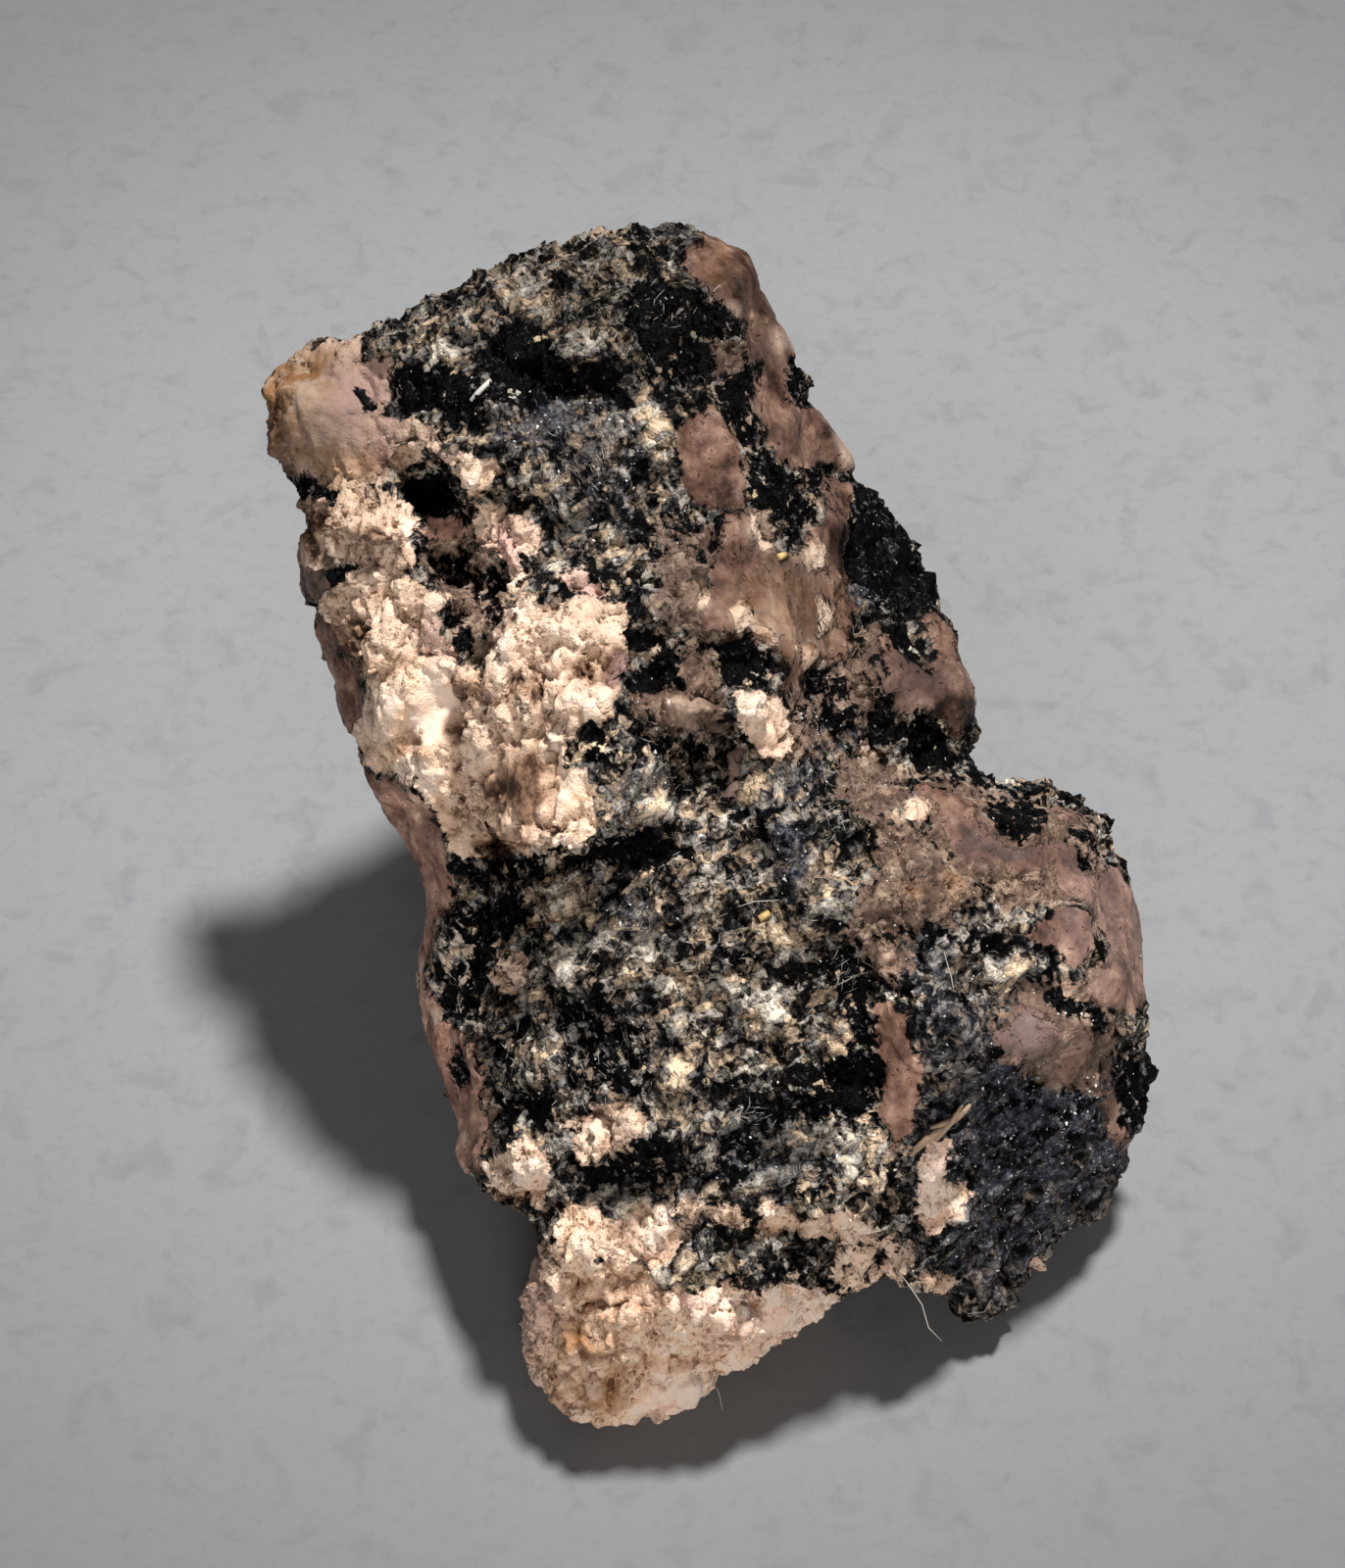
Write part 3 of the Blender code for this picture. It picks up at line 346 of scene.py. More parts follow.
# Softer patches laid over the outlines: x, y, half width, half height, strength,
# and a turn in degrees where a patch lies at a slant
finishPatches = {
    "pale": [  # the brightest crystals
        (-5.3, 5.7, 0.7, 0.7, 1.0), (2.35, 9.4, 0.5, 0.6, 1.2), (-3.9, 6.1, 0.6, 0.6, 1.0),
        (-3.1, 4.0, 0.9, 0.4, 1.0), (-3.9, 2.8, 0.6, 0.45, 1.0), (-3.7, 1.5, 0.8, 0.6, 0.8),
        (-7.8, 3.9, 0.6, 1.0, 0.8), (-7.6, 1.5, 0.8, 0.6, 0.7), (-9.3, 3.6, 0.5, 0.9, 0.6),
        (-5.3, 3.6, 0.5, 0.5, 0.7), (-9.9, 7.8, 0.8, 0.5, 0.9), (-9.4, 6.9, 0.6, 0.5, 0.6),
        (-4.8, 9.2, 0.7, 0.5, 1.0), (-6.5, 10.8, 0.6, 0.3, 0.9), (-3.7, -0.3, 0.9, 0.22, 0.9),
        (-8.0, 12.2, 0.7, 0.5, 0.8), (-7.8, 5.8, 0.8, 0.8, 0.6), (-8.4, 4.7, 0.9, 0.5, 0.6),
        (-4.5, 5.2, 1.0, 0.3, 0.6), (2.4, 9.35, 0.38, 0.55, 1.3), (1.8, 6.5, 0.42, 0.38, 1.2),
        (3.8, 8.4, 0.35, 0.4, 0.9), (4.2, 6.5, 0.22, 0.45, 0.8), (3.7, 5.5, 0.35, 0.35, 0.8),
        (2.7, 6.1, 0.2, 0.4, 0.8), (2.6, 6.6, 1.5, 0.9, 0.22, -20), (3.3, 8.1, 1.0, 1.0, 0.18),
        (0.5, 7.3, 0.3, 0.5, 0.6), (-0.15, 3.85, 0.5, 0.45, 1.1), (2.1, 3.7, 0.5, 0.6, 1.1),
        (1.35, 15.95, 0.35, 0.25, 0.8), (2.9, 15.1, 0.35, 0.3, 0.8, -45), (4.8, 11.8, 0.25, 0.7, 0.9, 20),
        (-5.5, -4.3, 0.5, 0.4, 1.0), (-3.8, -2.3, 0.6, 0.5, 0.8), (-3.4, -4.2, 0.5, 0.3, 0.7),
        (2.6, -5.4, 0.45, 0.6, 0.9), (-0.4, -7.5, 0.4, 0.45, 1.1), (0.4, -6.3, 0.35, 0.4, 0.8),
        (-2.3, -9.2, 0.9, 0.6, 0.7), (-5.0, -10.1, 0.5, 0.7, 0.8), (-3.0, -12.2, 0.6, 0.6, 1.1),
        (-0.8, -12.1, 0.7, 0.5, 1.0), (-1.8, -11.5, 0.6, 0.3, 0.8), (5.3, -12.0, 0.6, 0.4, 1.2),
        (2.6, -11.6, 0.4, 0.5, 0.9), (7.4, -10.2, 0.45, 0.7, 0.9, -12), (7.9, -11.4, 0.6, 0.5, 0.8),
        (1.3, -14.6, 0.7, 0.4, 0.6), (2.9, -15.0, 1.0, 0.5, 0.3, 20), (-0.3, -14.9, 0.5, 0.5, 0.6),
        (-0.2, -17.2, 0.9, 0.5, 0.5, 15), (-3.8, -13.4, 0.4, 0.35, 0.8), (-4.6, -15.4, 0.4, 1.4, 0.4),
        (-4.2, 16.4, 0.5, 0.5, 0.8), (-4.3, 15.6, 0.4, 0.4, 0.8), (-1.0, 16.4, 0.35, 0.4, 0.8),
        (-1.2, 13.3, 0.25, 0.6, 0.7), (-0.8, 11.8, 0.45, 0.6, 1.0), (-1.0, 0.95, 0.5, 0.3, 1.0),
        (5.5, 2.65, 0.35, 0.25, 0.7), (7.4, -0.6, 0.4, 0.35, 0.7), (11.3, -11.2, 0.25, 0.45, 0.8, 20),
        (10.0, -4.2, 0.8, 0.35, 0.8, 10), (-0.8, 5.4, 0.25, 0.25, 0.8),
    ],
    "tan": [  # browner crystal, and in places painted shade such as a shadow line
        (-4.9, 1.5, 0.7, 1.1, 1.2), (-5.8, 1.4, 0.4, 0.4, 1.2), (-11.2, 12.6, 1.9, 1.9, 0.28),
        (-4.6, 4.5, 0.6, 0.3, 0.9, -30), (-2.0, 5.0, 0.5, 0.5, 1.0), (-11.6, 9.3, 0.6, 0.8, 0.7),
        (-12.6, 12.4, 0.4, 1.4, 0.8), (-11.9, 11.4, 0.7, 0.5, 0.6), (0.9, 4.5, 0.25, 0.8, 1.1),
        (0.3, 5.3, 0.3, 0.4, 0.6), (-9.8, 9.0, 1.2, 0.35, 0.5), (-10.4, 5.8, 0.5, 0.8, 0.7),
        (-7.0, 3.2, 0.4, 0.6, 0.7), (-6.6, 4.3, 0.5, 0.5, 0.6), (-3.3, 5.1, 0.6, 0.25, 0.5),
        (-5.6, -0.3, 0.9, 0.3, 0.8), (-7.2, 0.6, 0.5, 0.8, 0.5), (-8.6, 2.6, 0.7, 0.3, 0.6),
        (-9.4, 11.2, 0.9, 0.3, 0.8), (3.3, 7.5, 0.4, 0.9, 0.9, 15), (2.6, 5.5, 0.5, 0.4, 0.8),
        (4.7, 8.6, 0.3, 0.9, 0.8), (1.2, 8.6, 0.5, 0.5, 0.5), (2.2, 7.6, 0.25, 0.7, 0.7, -20),
        (0.9, 11.0, 0.7, 0.5, 0.4), (2.6, 14.0, 0.3, 0.9, 0.5, 20), (1.8, 16.9, 0.8, 0.6, 0.5),
        (8.2, 3.6, 0.6, 0.8, 0.5), (11.8, -0.9, 0.4, 0.5, 0.6), (13.4, -3.0, 0.5, 1.4, 0.3),
        (10.0, -0.6, 0.7, 0.3, 0.5), (-3.3, -15.6, 0.8, 0.6, 0.5), (-2.3, -17.2, 0.7, 0.5, 0.5),
        (-2.6, -15.8, 2.0, 2.6, 0.32), (0.6, -15.6, 2.6, 1.6, 0.12, 10), (0.2, -16.1, 0.8, 0.3, 0.4),
        (-0.6, -15.2, 0.8, 0.3, 0.4), (5.1, -13.4, 0.6, 0.6, 0.15), (1.4, -15.6, 0.8, 0.3, 0.4),
        (6.4, -13.0, 0.5, 0.7, 0.15), (-2.0, -9.6, 0.5, 0.4, 0.5), (-5.2, -11.3, 0.7, 0.25, 0.7),
        (-6.2, 5.6, 0.2, 0.4, 0.4),
    ],
    "lilac": [  # pink that turns grey
        (-10.4, 13.3, 0.8, 1.5, 0.9), (-9.5, 13.9, 0.5, 0.7, 1.0), (-9.3, 12.2, 0.5, 1.0, 0.9),
        (10.3, -6.1, 1.0, 0.9, 1.3), (12.6, -2.8, 1.6, 2.8, 0.6), (9.5, -0.2, 2.2, 0.8, 0.5),
        (-5.6, 8.7, 0.7, 0.9, 1.0), (-3.2, 7.6, 0.7, 0.4, 1.0), (-1.9, 4.9, 0.4, 0.5, 0.8),
        (1.4, 1.7, 0.4, 0.9, 1.0), (-6.6, 15.7, 0.5, 0.5, 0.8), (-7.6, 5.9, 0.6, 0.6, 0.7),
        (0.2, -14.6, 0.6, 0.5, 0.6), (-4.7, -14.8, 0.6, 1.4, 0.5), (2.8, -15.0, 1.9, 0.7, 0.42, 14),
        (-0.4, -17.4, 1.4, 0.7, 0.36, 15), (-7.8, 4.0, 0.6, 1.0, 0.3), (7.7, -10.8, 0.7, 1.5, 0.4),
        (10.3, -1.8, 0.8, 0.5, 1.0), (7.0, 4.6, 1.2, 0.8, 0.6), (6.2, -4.0, 0.8, 0.6, 0.6),
    ],
    "smooth": [  # places with few grains
        (-11.0, 12.9, 1.9, 2.1, 1.0), (-9.4, 12.6, 0.7, 1.6, 0.6), (-7.8, 3.9, 0.7, 1.1, 1.0),
        (-9.2, 3.6, 0.8, 1.0, 0.8), (-8.3, -0.4, 1.2, 2.0, 1.0), (2.4, -15.0, 2.4, 0.7, 0.5, 12),
        (-0.6, -17.3, 1.4, 0.7, 0.8, 10), (-3.6, 1.4, 1.0, 0.9, 0.6), (-5.1, 1.6, 0.9, 1.2, 0.7),
        (7.6, -10.8, 0.8, 1.5, 0.35), (-2.6, 6.4, 0.8, 1.0, 0.3), (-3.0, 4.0, 1.0, 0.6, 0.3),
        (6.4, 8.9, 1.4, 1.9, 1.0), (10.4, -6.2, 1.0, 0.9, 0.7), (-0.1, 3.8, 0.6, 0.5, 0.6),
        (-0.8, -17.6, 1.6, 0.8, 0.5, 10), (-4.0, 5.0, 2.4, 2.4, 0.1), (-9.6, 8.6, 2.8, 3.0, 0.05),
        (10.6, -7.4, 3.2, 4.6, 0.55, 10), (2.4, 3.4, 1.0, 1.0, 0.5), (-1.4, -12.2, 2.6, 1.0, 0.1),
        (5.0, -12.6, 2.2, 1.4, 0.2), (-5.0, -10.4, 1.2, 1.2, 0.2), (-2.4, -9.2, 1.2, 1.0, 0.1),
        (-5.6, 9.6, 1.6, 2.2, 0.1), (-1.4, -16.0, 4.8, 3.0, 0.2, 8),
    ],
    "cream": [  # share of pale grains in the black matrix
        (-2.6, 17.7, 2.8, 0.7, 0.46, 8), (-5.0, 16.5, 0.8, 0.6, 0.75), (-4.0, 15.9, 0.9, 0.8, 0.85),
        (-3.2, 14.9, 0.8, 0.6, 0.7), (-1.5, 16.4, 1.0, 0.6, 0.7), (-2.0, 17.4, 0.5, 0.5, 0.7),
        (-7.4, 15.6, 1.8, 0.5, 0.48, 22), (-7.4, 14.6, 1.4, 0.22, 0.85, -8), (-1.2, 13.2, 0.5, 0.8, 0.6),
        (0.3, 18.0, 0.8, 0.5, 0.45), (-2.3, 15.4, 0.7, 0.9, 0.45), (-3.4, 11.4, 2.6, 1.7, 0.46),
        (-4.6, 12.3, 0.6, 0.5, 0.7), (-2.3, 12.2, 0.5, 0.9, 0.75), (-0.7, 11.8, 0.6, 0.8, 0.95),
        (-5.0, 10.6, 1.2, 0.7, 0.58), (-3.0, 9.9, 1.2, 1.0, 0.5), (-2.3, 8.9, 0.5, 0.8, 0.75, 20),
        (-1.1, 10.3, 1.0, 0.8, 0.55), (-5.6, 11.9, 0.5, 0.4, 0.65), (-0.5, 6.8, 1.2, 0.7, 0.75),
        (-4.2, 8.2, 0.9, 0.4, 0.55), (-1.9, 5.9, 0.4, 0.4, 0.5), (-0.85, 5.4, 0.35, 0.3, 0.8),
        (-0.3, 8.7, 1.2, 0.9, 0.4), (-1.9, 1.2, 1.4, 0.9, 0.62), (-1.0, 0.8, 0.9, 0.5, 0.85),
        (0.4, 2.4, 1.6, 0.8, 0.48), (3.9, 0.8, 1.2, 0.9, 0.55), (0.8, 0.0, 1.2, 0.8, 0.52),
        (0.6, -0.7, 0.4, 0.3, 0.85), (-1.6, -0.6, 0.5, 0.3, 0.6), (2.6, 1.8, 0.8, 0.8, 0.45),
        (5.4, 1.4, 1.0, 1.0, 0.6), (6.6, 0.6, 0.6, 0.5, 0.8), (6.5, 2.5, 0.5, 0.3, 0.7),
        (-3.8, -2.3, 0.9, 0.8, 0.95), (-2.6, -3.1, 0.8, 0.4, 0.85), (-4.2, -3.4, 0.5, 0.7, 0.8),
        (-3.4, -4.2, 0.8, 0.5, 0.9), (-2.0, -4.6, 1.0, 0.6, 0.75), (-0.3, -4.3, 1.2, 1.0, 0.72),
        (-0.8, -2.3, 1.6, 1.2, 0.5), (1.5, -1.9, 1.4, 1.2, 0.5), (3.2, -1.0, 1.2, 1.2, 0.48),
        (1.4, -4.9, 0.9, 0.8, 0.72), (2.7, -5.4, 0.8, 0.9, 0.92), (4.1, -6.1, 0.8, 0.6, 0.8),
        (0.5, -6.3, 0.6, 0.6, 0.88), (-0.5, -5.7, 0.6, 0.4, 0.75), (-0.4, -7.4, 0.6, 0.6, 0.95),
        (-4.7, -6.7, 0.9, 0.5, 0.8), (-5.4, -5.4, 0.8, 0.7, 0.6), (-5.3, -7.3, 0.9, 0.5, 0.6),
        (2.6, -7.0, 0.6, 0.3, 0.7, 20), (1.8, -7.9, 0.8, 0.4, 0.6, 15), (-0.5, -8.6, 1.0, 0.5, 0.52),
        (0.7, -9.8, 0.6, 0.5, 0.75), (3.1, -9.6, 0.9, 0.7, 0.62), (5.4, -9.6, 0.7, 0.9, 0.7),
        (4.2, -10.6, 1.4, 0.5, 0.52), (-3.2, -6.6, 0.9, 1.2, 0.45), (3.4, -3.2, 1.2, 0.8, 0.5),
        (-1.0, -11.4, 1.6, 0.5, 0.72), (4.0, -11.5, 2.0, 0.6, 0.8), (6.9, -12.4, 1.2, 0.9, 0.6),
        (-0.8, -13.3, 2.4, 1.0, 0.75), (0.9, -12.4, 0.8, 0.6, 0.5), (-4.9, -9.4, 0.9, 0.6, 0.6),
        (7.6, -1.2, 1.6, 1.2, 0.68), (10.0, -4.3, 1.1, 0.35, 0.9, 10), (6.3, -2.8, 1.6, 1.0, 0.55),
        (7.4, 4.8, 1.4, 1.4, 0.42), (8.8, -9.4, 1.2, 0.7, 0.32), (8.0, -5.0, 1.2, 1.0, 0.36),
        (9.0, -12.9, 0.9, 0.8, 0.48), (11.4, -11.2, 0.4, 0.7, 0.6, 20), (8.4, -7.2, 1.0, 1.4, 0.34),
        (11.0, -9.6, 2.4, 2.2, 0.16), (-6.4, -4.2, 0.7, 1.8, 0.3), (11.8, 0.9, 0.8, 0.4, 0.4),
        (4.6, -2.1, 0.4, 0.35, 0.85), (6.6, -12.0, 0.5, 0.9, 0.65), (9.6, -1.9, 0.8, 0.7, 0.4),
    ],
    "ochre": [  # rusty stains
        (-11.8, 14.1, 1.0, 0.9, 1.6), (-12.5, 13.2, 0.8, 1.2, 1.5), (-10.9, 11.4, 1.2, 0.5, 0.8),
        (-10.6, 11.4, 1.4, 0.28, 0.7, -5), (-9.6, 7.0, 0.6, 0.7, 0.6), (-3.1, -15.4, 0.75, 0.6, 1.5),
        (-2.5, -17.2, 0.7, 0.65, 1.4), (2.9, 6.8, 1.6, 1.2, 0.45), (-0.5, -16.4, 0.6, 0.14, 1.0),
        (8.3, -1.6, 0.45, 0.45, 0.5), (7.2, -1.9, 0.5, 0.3, 0.5), (3.9, 5.9, 0.5, 0.8, 0.4),
        (1.0, 17.4, 0.6, 0.6, 0.3), (2.8, 3.0, 0.5, 0.6, 0.45), (-4.2, -16.4, 0.7, 1.4, 0.4),
        (-1.4, -14.6, 1.6, 0.8, 0.35), (-3.2, -13.6, 0.7, 0.4, 0.3), (-5.6, 0.0, 0.8, 0.5, 0.3),
    ],
    "quiet": [  # places with few pale grains
        (10.4, -7.4, 3.4, 5.4, 1.35, 10), (11.0, 0.6, 2.4, 1.4, 0.9), (-1.6, 14.6, 4.6, 1.6, 0.5),
        (6.3, 8.8, 1.6, 2.2, 1.0), (4.4, -7.0, 1.6, 2.6, 0.9), (3.6, 12.0, 2.0, 2.4, 0.7),
        (1.0, 15.6, 1.4, 1.2, 0.8), (-7.6, 13.4, 1.6, 0.9, 0.8), (7.4, 4.4, 1.8, 2.2, 0.6),
        (-2.6, -6.6, 1.6, 1.4, 0.4), (9.4, -12.8, 1.8, 1.4, 1.3), (-1.0, -10.2, 2.6, 0.7, 0.6),
        (8.0, -4.6, 1.2, 1.6, 0.8),
    ],
    "lighterToneAndPaintedLight": [  # painted light: places painted lighter where they lie in shade or turn from the lamp
        (-1.0, -16.2, 4.8, 3.0, 0.74, 8), (3.6, -14.6, 2.6, 1.2, 0.9, 10), (-8.4, -0.4, 1.0, 2.4, 1.9, 8),
        (-7.6, -5.0, 1.1, 5.4, 2.4, 6), (6.4, -7.0, 1.1, 3.0, 2.8, 5), (-7.8, 3.9, 0.9, 1.2, 0.6),
        (1.6, -12.2, 6.2, 1.0, 0.25, 4), (7.6, -10.8, 0.9, 1.6, 0.8), (-9.4, 5.0, 2.0, 3.4, 0.1),
        (-4.0, 3.4, 2.8, 4.4, 0.2), (12.2, -2.8, 2.6, 3.6, 0.7), (9.0, 0.2, 2.6, 1.3, 0.6),
        (-7.4, 9.35, 0.9, 0.5, 2.2), (-5.8, 7.2, 0.9, 1.4, 1.2), (10.4, -6.2, 1.6, 1.4, 0.4),
        (-0.6, 3.8, 1.0, 0.8, 0.3), (0.6, 1.4, 3.2, 1.6, 0.3), (-5.4, -10.4, 1.2, 1.2, 0.4),
    ],
    "dim": [  # painted shade: places painted darker than the lamp leaves them
        (-11.0, 13.2, 2.6, 2.6, 1.05), (-1.6, 15.6, 5.4, 3.0, 0.9), (-10.6, 9.1, 1.7, 1.3, 0.35),
        (7.4, 4.8, 1.8, 2.2, 0.5), (3.4, 11.6, 1.8, 2.0, 0.3), (3.0, 7.6, 2.6, 2.6, 0.5),
        (-12.4, 9.2, 0.9, 2.6, 0.7), (-2.3, 5.4, 0.9, 1.6, 0.3), (9.6, 0.6, 2.6, 1.0, 0.3),
    ],
    "sheen": [  # blue-grey gloss: lower roughness, and a painted sheen in the colour
        (-4.6, 12.5, 1.3, 0.8, 1.0), (-2.8, 12.0, 1.0, 1.0, 0.7), (10.6, -9.4, 2.8, 3.6, 1.15),
        (3.2, -0.8, 0.6, 1.0, 1.0), (-2.6, 10.2, 1.8, 1.4, 0.4), (2.2, -9.8, 1.4, 1.0, 0.7),
        (4.3, 3.4, 0.9, 0.9, 0.8), (8.6, -6.4, 1.2, 1.6, 0.6), (9.6, -12.6, 1.8, 1.4, 1.1),
        (-1.6, -2.6, 0.6, 0.5, 0.8), (5.7, 7.5, 0.5, 0.4, 1.2), (6.0, 9.5, 0.5, 0.4, 0.5, -40),
        (-2.4, -6.4, 1.2, 1.4, 0.5), (-1.6, 1.5, 0.8, 0.5, 0.7), (3.4, 1.5, 0.8, 0.8, 0.5),
        (7.8, -4.2, 0.9, 0.8, 0.6),
    ],
}

outlineEdges = {"pink": 0.45, "coat": 0.38, "haze": 0.6, "black": 0.42}  # width of the blend in mm
patchEdge = 0.75  # softness of the patches, as a share of their size


def outlineField(x, y, outlines, edge):
    # 1 inside the outlines and 0 outside, blended over the edge width
    field = np.zeros(len(x))
    for strength, corners in outlines:
        c = np.array(corners)
        low, high = c.min(axis=0) - edge, c.max(axis=0) + edge
        near = np.flatnonzero((x > low[0]) & (x < high[0]) & (y > low[1]) & (y < high[1]))
        px, py = x[near], y[near]
        inside = np.zeros(len(near), bool)
        far = np.full(len(near), 9.0)
        for (x0, y0), (x1, y1) in zip(c, np.roll(c, -1, axis=0)):
            crossed = (y0 > py) != (y1 > py)
            rise = y1 - y0 if y1 != y0 else 1e-9
            inside ^= crossed & (px < (x1 - x0) * (py - y0) / rise + x0)
            along = (px - x0) * (x1 - x0) + (py - y0) * (y1 - y0)
            along = np.clip(along / ((x1 - x0) ** 2 + (y1 - y0) ** 2), 0, 1)
            far = np.minimum(far, np.hypot(px - x0 - along * (x1 - x0), py - y0 - along * (y1 - y0)))
        share = np.clip((np.where(inside, far, -far) + edge) / (2 * edge), 0, 1)
        field[near] = np.maximum(field[near], eased(share) * strength)
    return field


def patchField(x, y, patches):
    # 1 in the middle of the patches, fading out past their size
    field = np.zeros(len(x))
    for px, py, halfWidth, halfHeight, strength, *slant in patches:
        turn = math.radians(slant[0] if slant else 0)
        c, s = math.cos(turn), math.sin(turn)
        u = ((x - px) * c + (y - py) * s) / halfWidth
        v = (-(x - px) * s + (y - py) * c) / halfHeight
        share = np.clip((1 + patchEdge - np.sqrt(u * u + v * v)) / (2 * patchEdge), 0, 1)
        field = np.maximum(field, eased(share) * strength)
    return field


faceReach = {
    "wander": (0.9, 0.13),  # mm, size and reach of the raggedness of the outlines
    "depth": (-6.5, 2.0),  # mm behind the face where the outlines stop, and the blend
    "facing": (-0.45, 0.3),  # the same for how far a place turns away from the front
}

# The sides and back are veined at random in the same proportions
backNoise = {"masses": (5.5, 70), "smears": (4.0, 80), "shades": (2.4, 90)}  # size in mm and seed
backFinishes = {  # noise that each finish follows, its gain, its start and its most
    "pink": ("masses", 3.0, -0.35, 1.0), "coat": ("smears", 4.0, -1.3, 1.0),
    "haze": ("smears", 4.0, -0.6, 0.8), "ochre": ("shades", 2.5, -1.9, 0.7),
    "pale": ("shades", 1.6, -0.5, 1.0), "tan": ("shades", -1.6, -0.3, 1.0),
    "lilac": ("masses", 2.0, -1.4, 0.8), "sheen": ("smears", -1.5, -0.4, 0.8),
    "black": ("masses", -2.0, -1.0, 0.8), "smooth": ("masses", 2.0, -0.9, 0.8),
    "quiet": ("smears", -2.0, 0.0, 1.0), "lighterToneAndPaintedLight": ("shades", 1.0, -0.3, 0.5),
    "dim": ("shades", -1.0, -0.3, 0.5),
}


creamRule = {  # share of pale grains in the matrix
    "behind": (0.42, 0.25, 0.15),  # at the sides and back: mean, and how far smears and shades swing it
    "blotches": (1.9, 60, 0.12),  # size in mm, seed and swing of the cloudy changes all over
    "least": 0.27, "most": 1.1,
    "quietDrop": 0.22,
}
coveredByBlack = {"pink": 0.95, "coat": 0.9}
dulledByOchre = 0.7


def shareAbove(values, start, blend):
    return np.clip((values - start) / blend, 0, 1)


def finishFields(world, normals):
    # how much of each finish there is at every point
    r, c = faceReach, creamRule
    face = toFace(world)
    facing = (normals @ leanTurn)[:, 2]
    p = world / mm
    seen = asSeen(face)
    size, reach = r["wander"]
    wander = [layeredNoise(face, size, seed, 4) * reach for seed in (40, 50)]
    x, y = seen[:, 0] + wander[0], seen[:, 1] + wander[1]
    front = shareAbove(face[:, 2], *r["depth"]) * shareAbove(facing, *r["facing"])
    fields = {}
    for name, outlines in finishOutlines.items():
        fields[name] = outlineField(x, y, outlines, outlineEdges[name])
    for name, patches in finishPatches.items():
        fields[name] = patchField(x, y, patches)
    noises = {name: layeredNoise(p, size, seed, 4) for name, (size, seed) in backNoise.items()}
    mean, smearSwing, shadeSwing = c["behind"]
    behind = {"cream": mean + smearSwing * noises["smears"] + shadeSwing * noises["shades"]}
    for name, (source, gain, start, most) in backFinishes.items():
        behind[name] = np.clip(noises[source] * gain + start, 0, most)
    for name, values in behind.items():
        fields[name] = fields[name] * front + values * (1 - front)

    solid = np.minimum(fields["black"], 1.0)
    for name, share in coveredByBlack.items():
        fields[name] = fields[name] * (1 - share * solid)
    fields["lighterToneAndPaintedLight"] = fields["lighterToneAndPaintedLight"] * (1 - dulledByOchre * np.clip(fields["ochre"], 0, 1))
    size, seed, swing = c["blotches"]
    cream = np.maximum(fields["cream"], c["least"]) + layeredNoise(p, size, seed, 3) * swing
    fields["cream"] = np.clip(cream, 0, c["most"]) - c["quietDrop"] * fields["quiet"]
    return fields


# Meshes from arrays
def newMesh(name, points, triangles, flat=True):
    mesh = bpy.data.meshes.new(name)
    mesh.vertices.add(len(points))
    mesh.vertices.foreach_set("co", np.asarray(points, np.float32).ravel())
    mesh.loops.add(len(triangles) * 3)
    mesh.loops.foreach_set("vertex_index", np.asarray(triangles, np.int32).ravel())
    mesh.polygons.add(len(triangles))
    mesh.polygons.foreach_set("loop_start", np.arange(0, len(triangles) * 3, 3, dtype=np.int32))
    mesh.update(calc_edges=True)
    if flat:
        mesh.shade_flat()
    else:
        mesh.shade_smooth()
    return mesh


def addAttribute(mesh, name, values):
    attribute = mesh.attributes.new(name, "FLOAT", "POINT")
    attribute.data.foreach_set("value", np.asarray(values, np.float32))


def putInScene(name, data):
    thing = bpy.data.objects.new(name, data)
    bpy.context.scene.collection.objects.link(thing)
    return thing


def showPiece(name, mesh, material):
    piece = putInScene(name, mesh)
    mesh.materials.append(material)
    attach(piece, "root")
    return piece


# Node helpers: an input takes a number, a colour or another node's output
def feed(tree, socket, value):
    if hasattr(value, "is_linked"):
        tree.links.new(value, socket)
    elif socket.type == "RGBA" and len(value) == 3:
        socket.default_value = (*value, 1.0)
    else:
        socket.default_value = value


def addNode(tree, kind, **values):
    # a name that starts with in_ is one of the node's inputs, by its name or number
    made = tree.nodes.new(kind)
    for key, value in values.items():
        if key.startswith("in_"):
            key = key[3:]
            feed(tree, made.inputs[int(key) if key.isdigit() else key.replace("_", " ")], value)
        else:
            setattr(made, key, value)
    return made


def mathNode(tree, operation, a, b, clamp=False):
    made = addNode(tree, "ShaderNodeMath", operation=operation, use_clamp=clamp, in_0=a, in_1=b)
    return made.outputs[0]


def vectorNode(tree, operation, **values):
    return addNode(tree, "ShaderNodeVectorMath", operation=operation, **values)


def mixColour(tree, share, a, b, blend="MIX"):
    made = addNode(tree, "ShaderNodeMix", data_type="RGBA", blend_type=blend, in_0=share, in_6=a, in_7=b)
    return made.outputs[2]


def objectPlace(tree):
    return addNode(tree, "ShaderNodeTexCoord").outputs["Object"]


def noiseAt(tree, place, sizeMm, detail=3.0, rough=0.6, warp=0.0):
    made = addNode(tree, "ShaderNodeTexNoise", in_Vector=place, in_Scale=1000.0 / sizeMm,
                   in_Detail=detail, in_Roughness=rough, in_Distortion=warp)
    return made.outputs["Fac"]


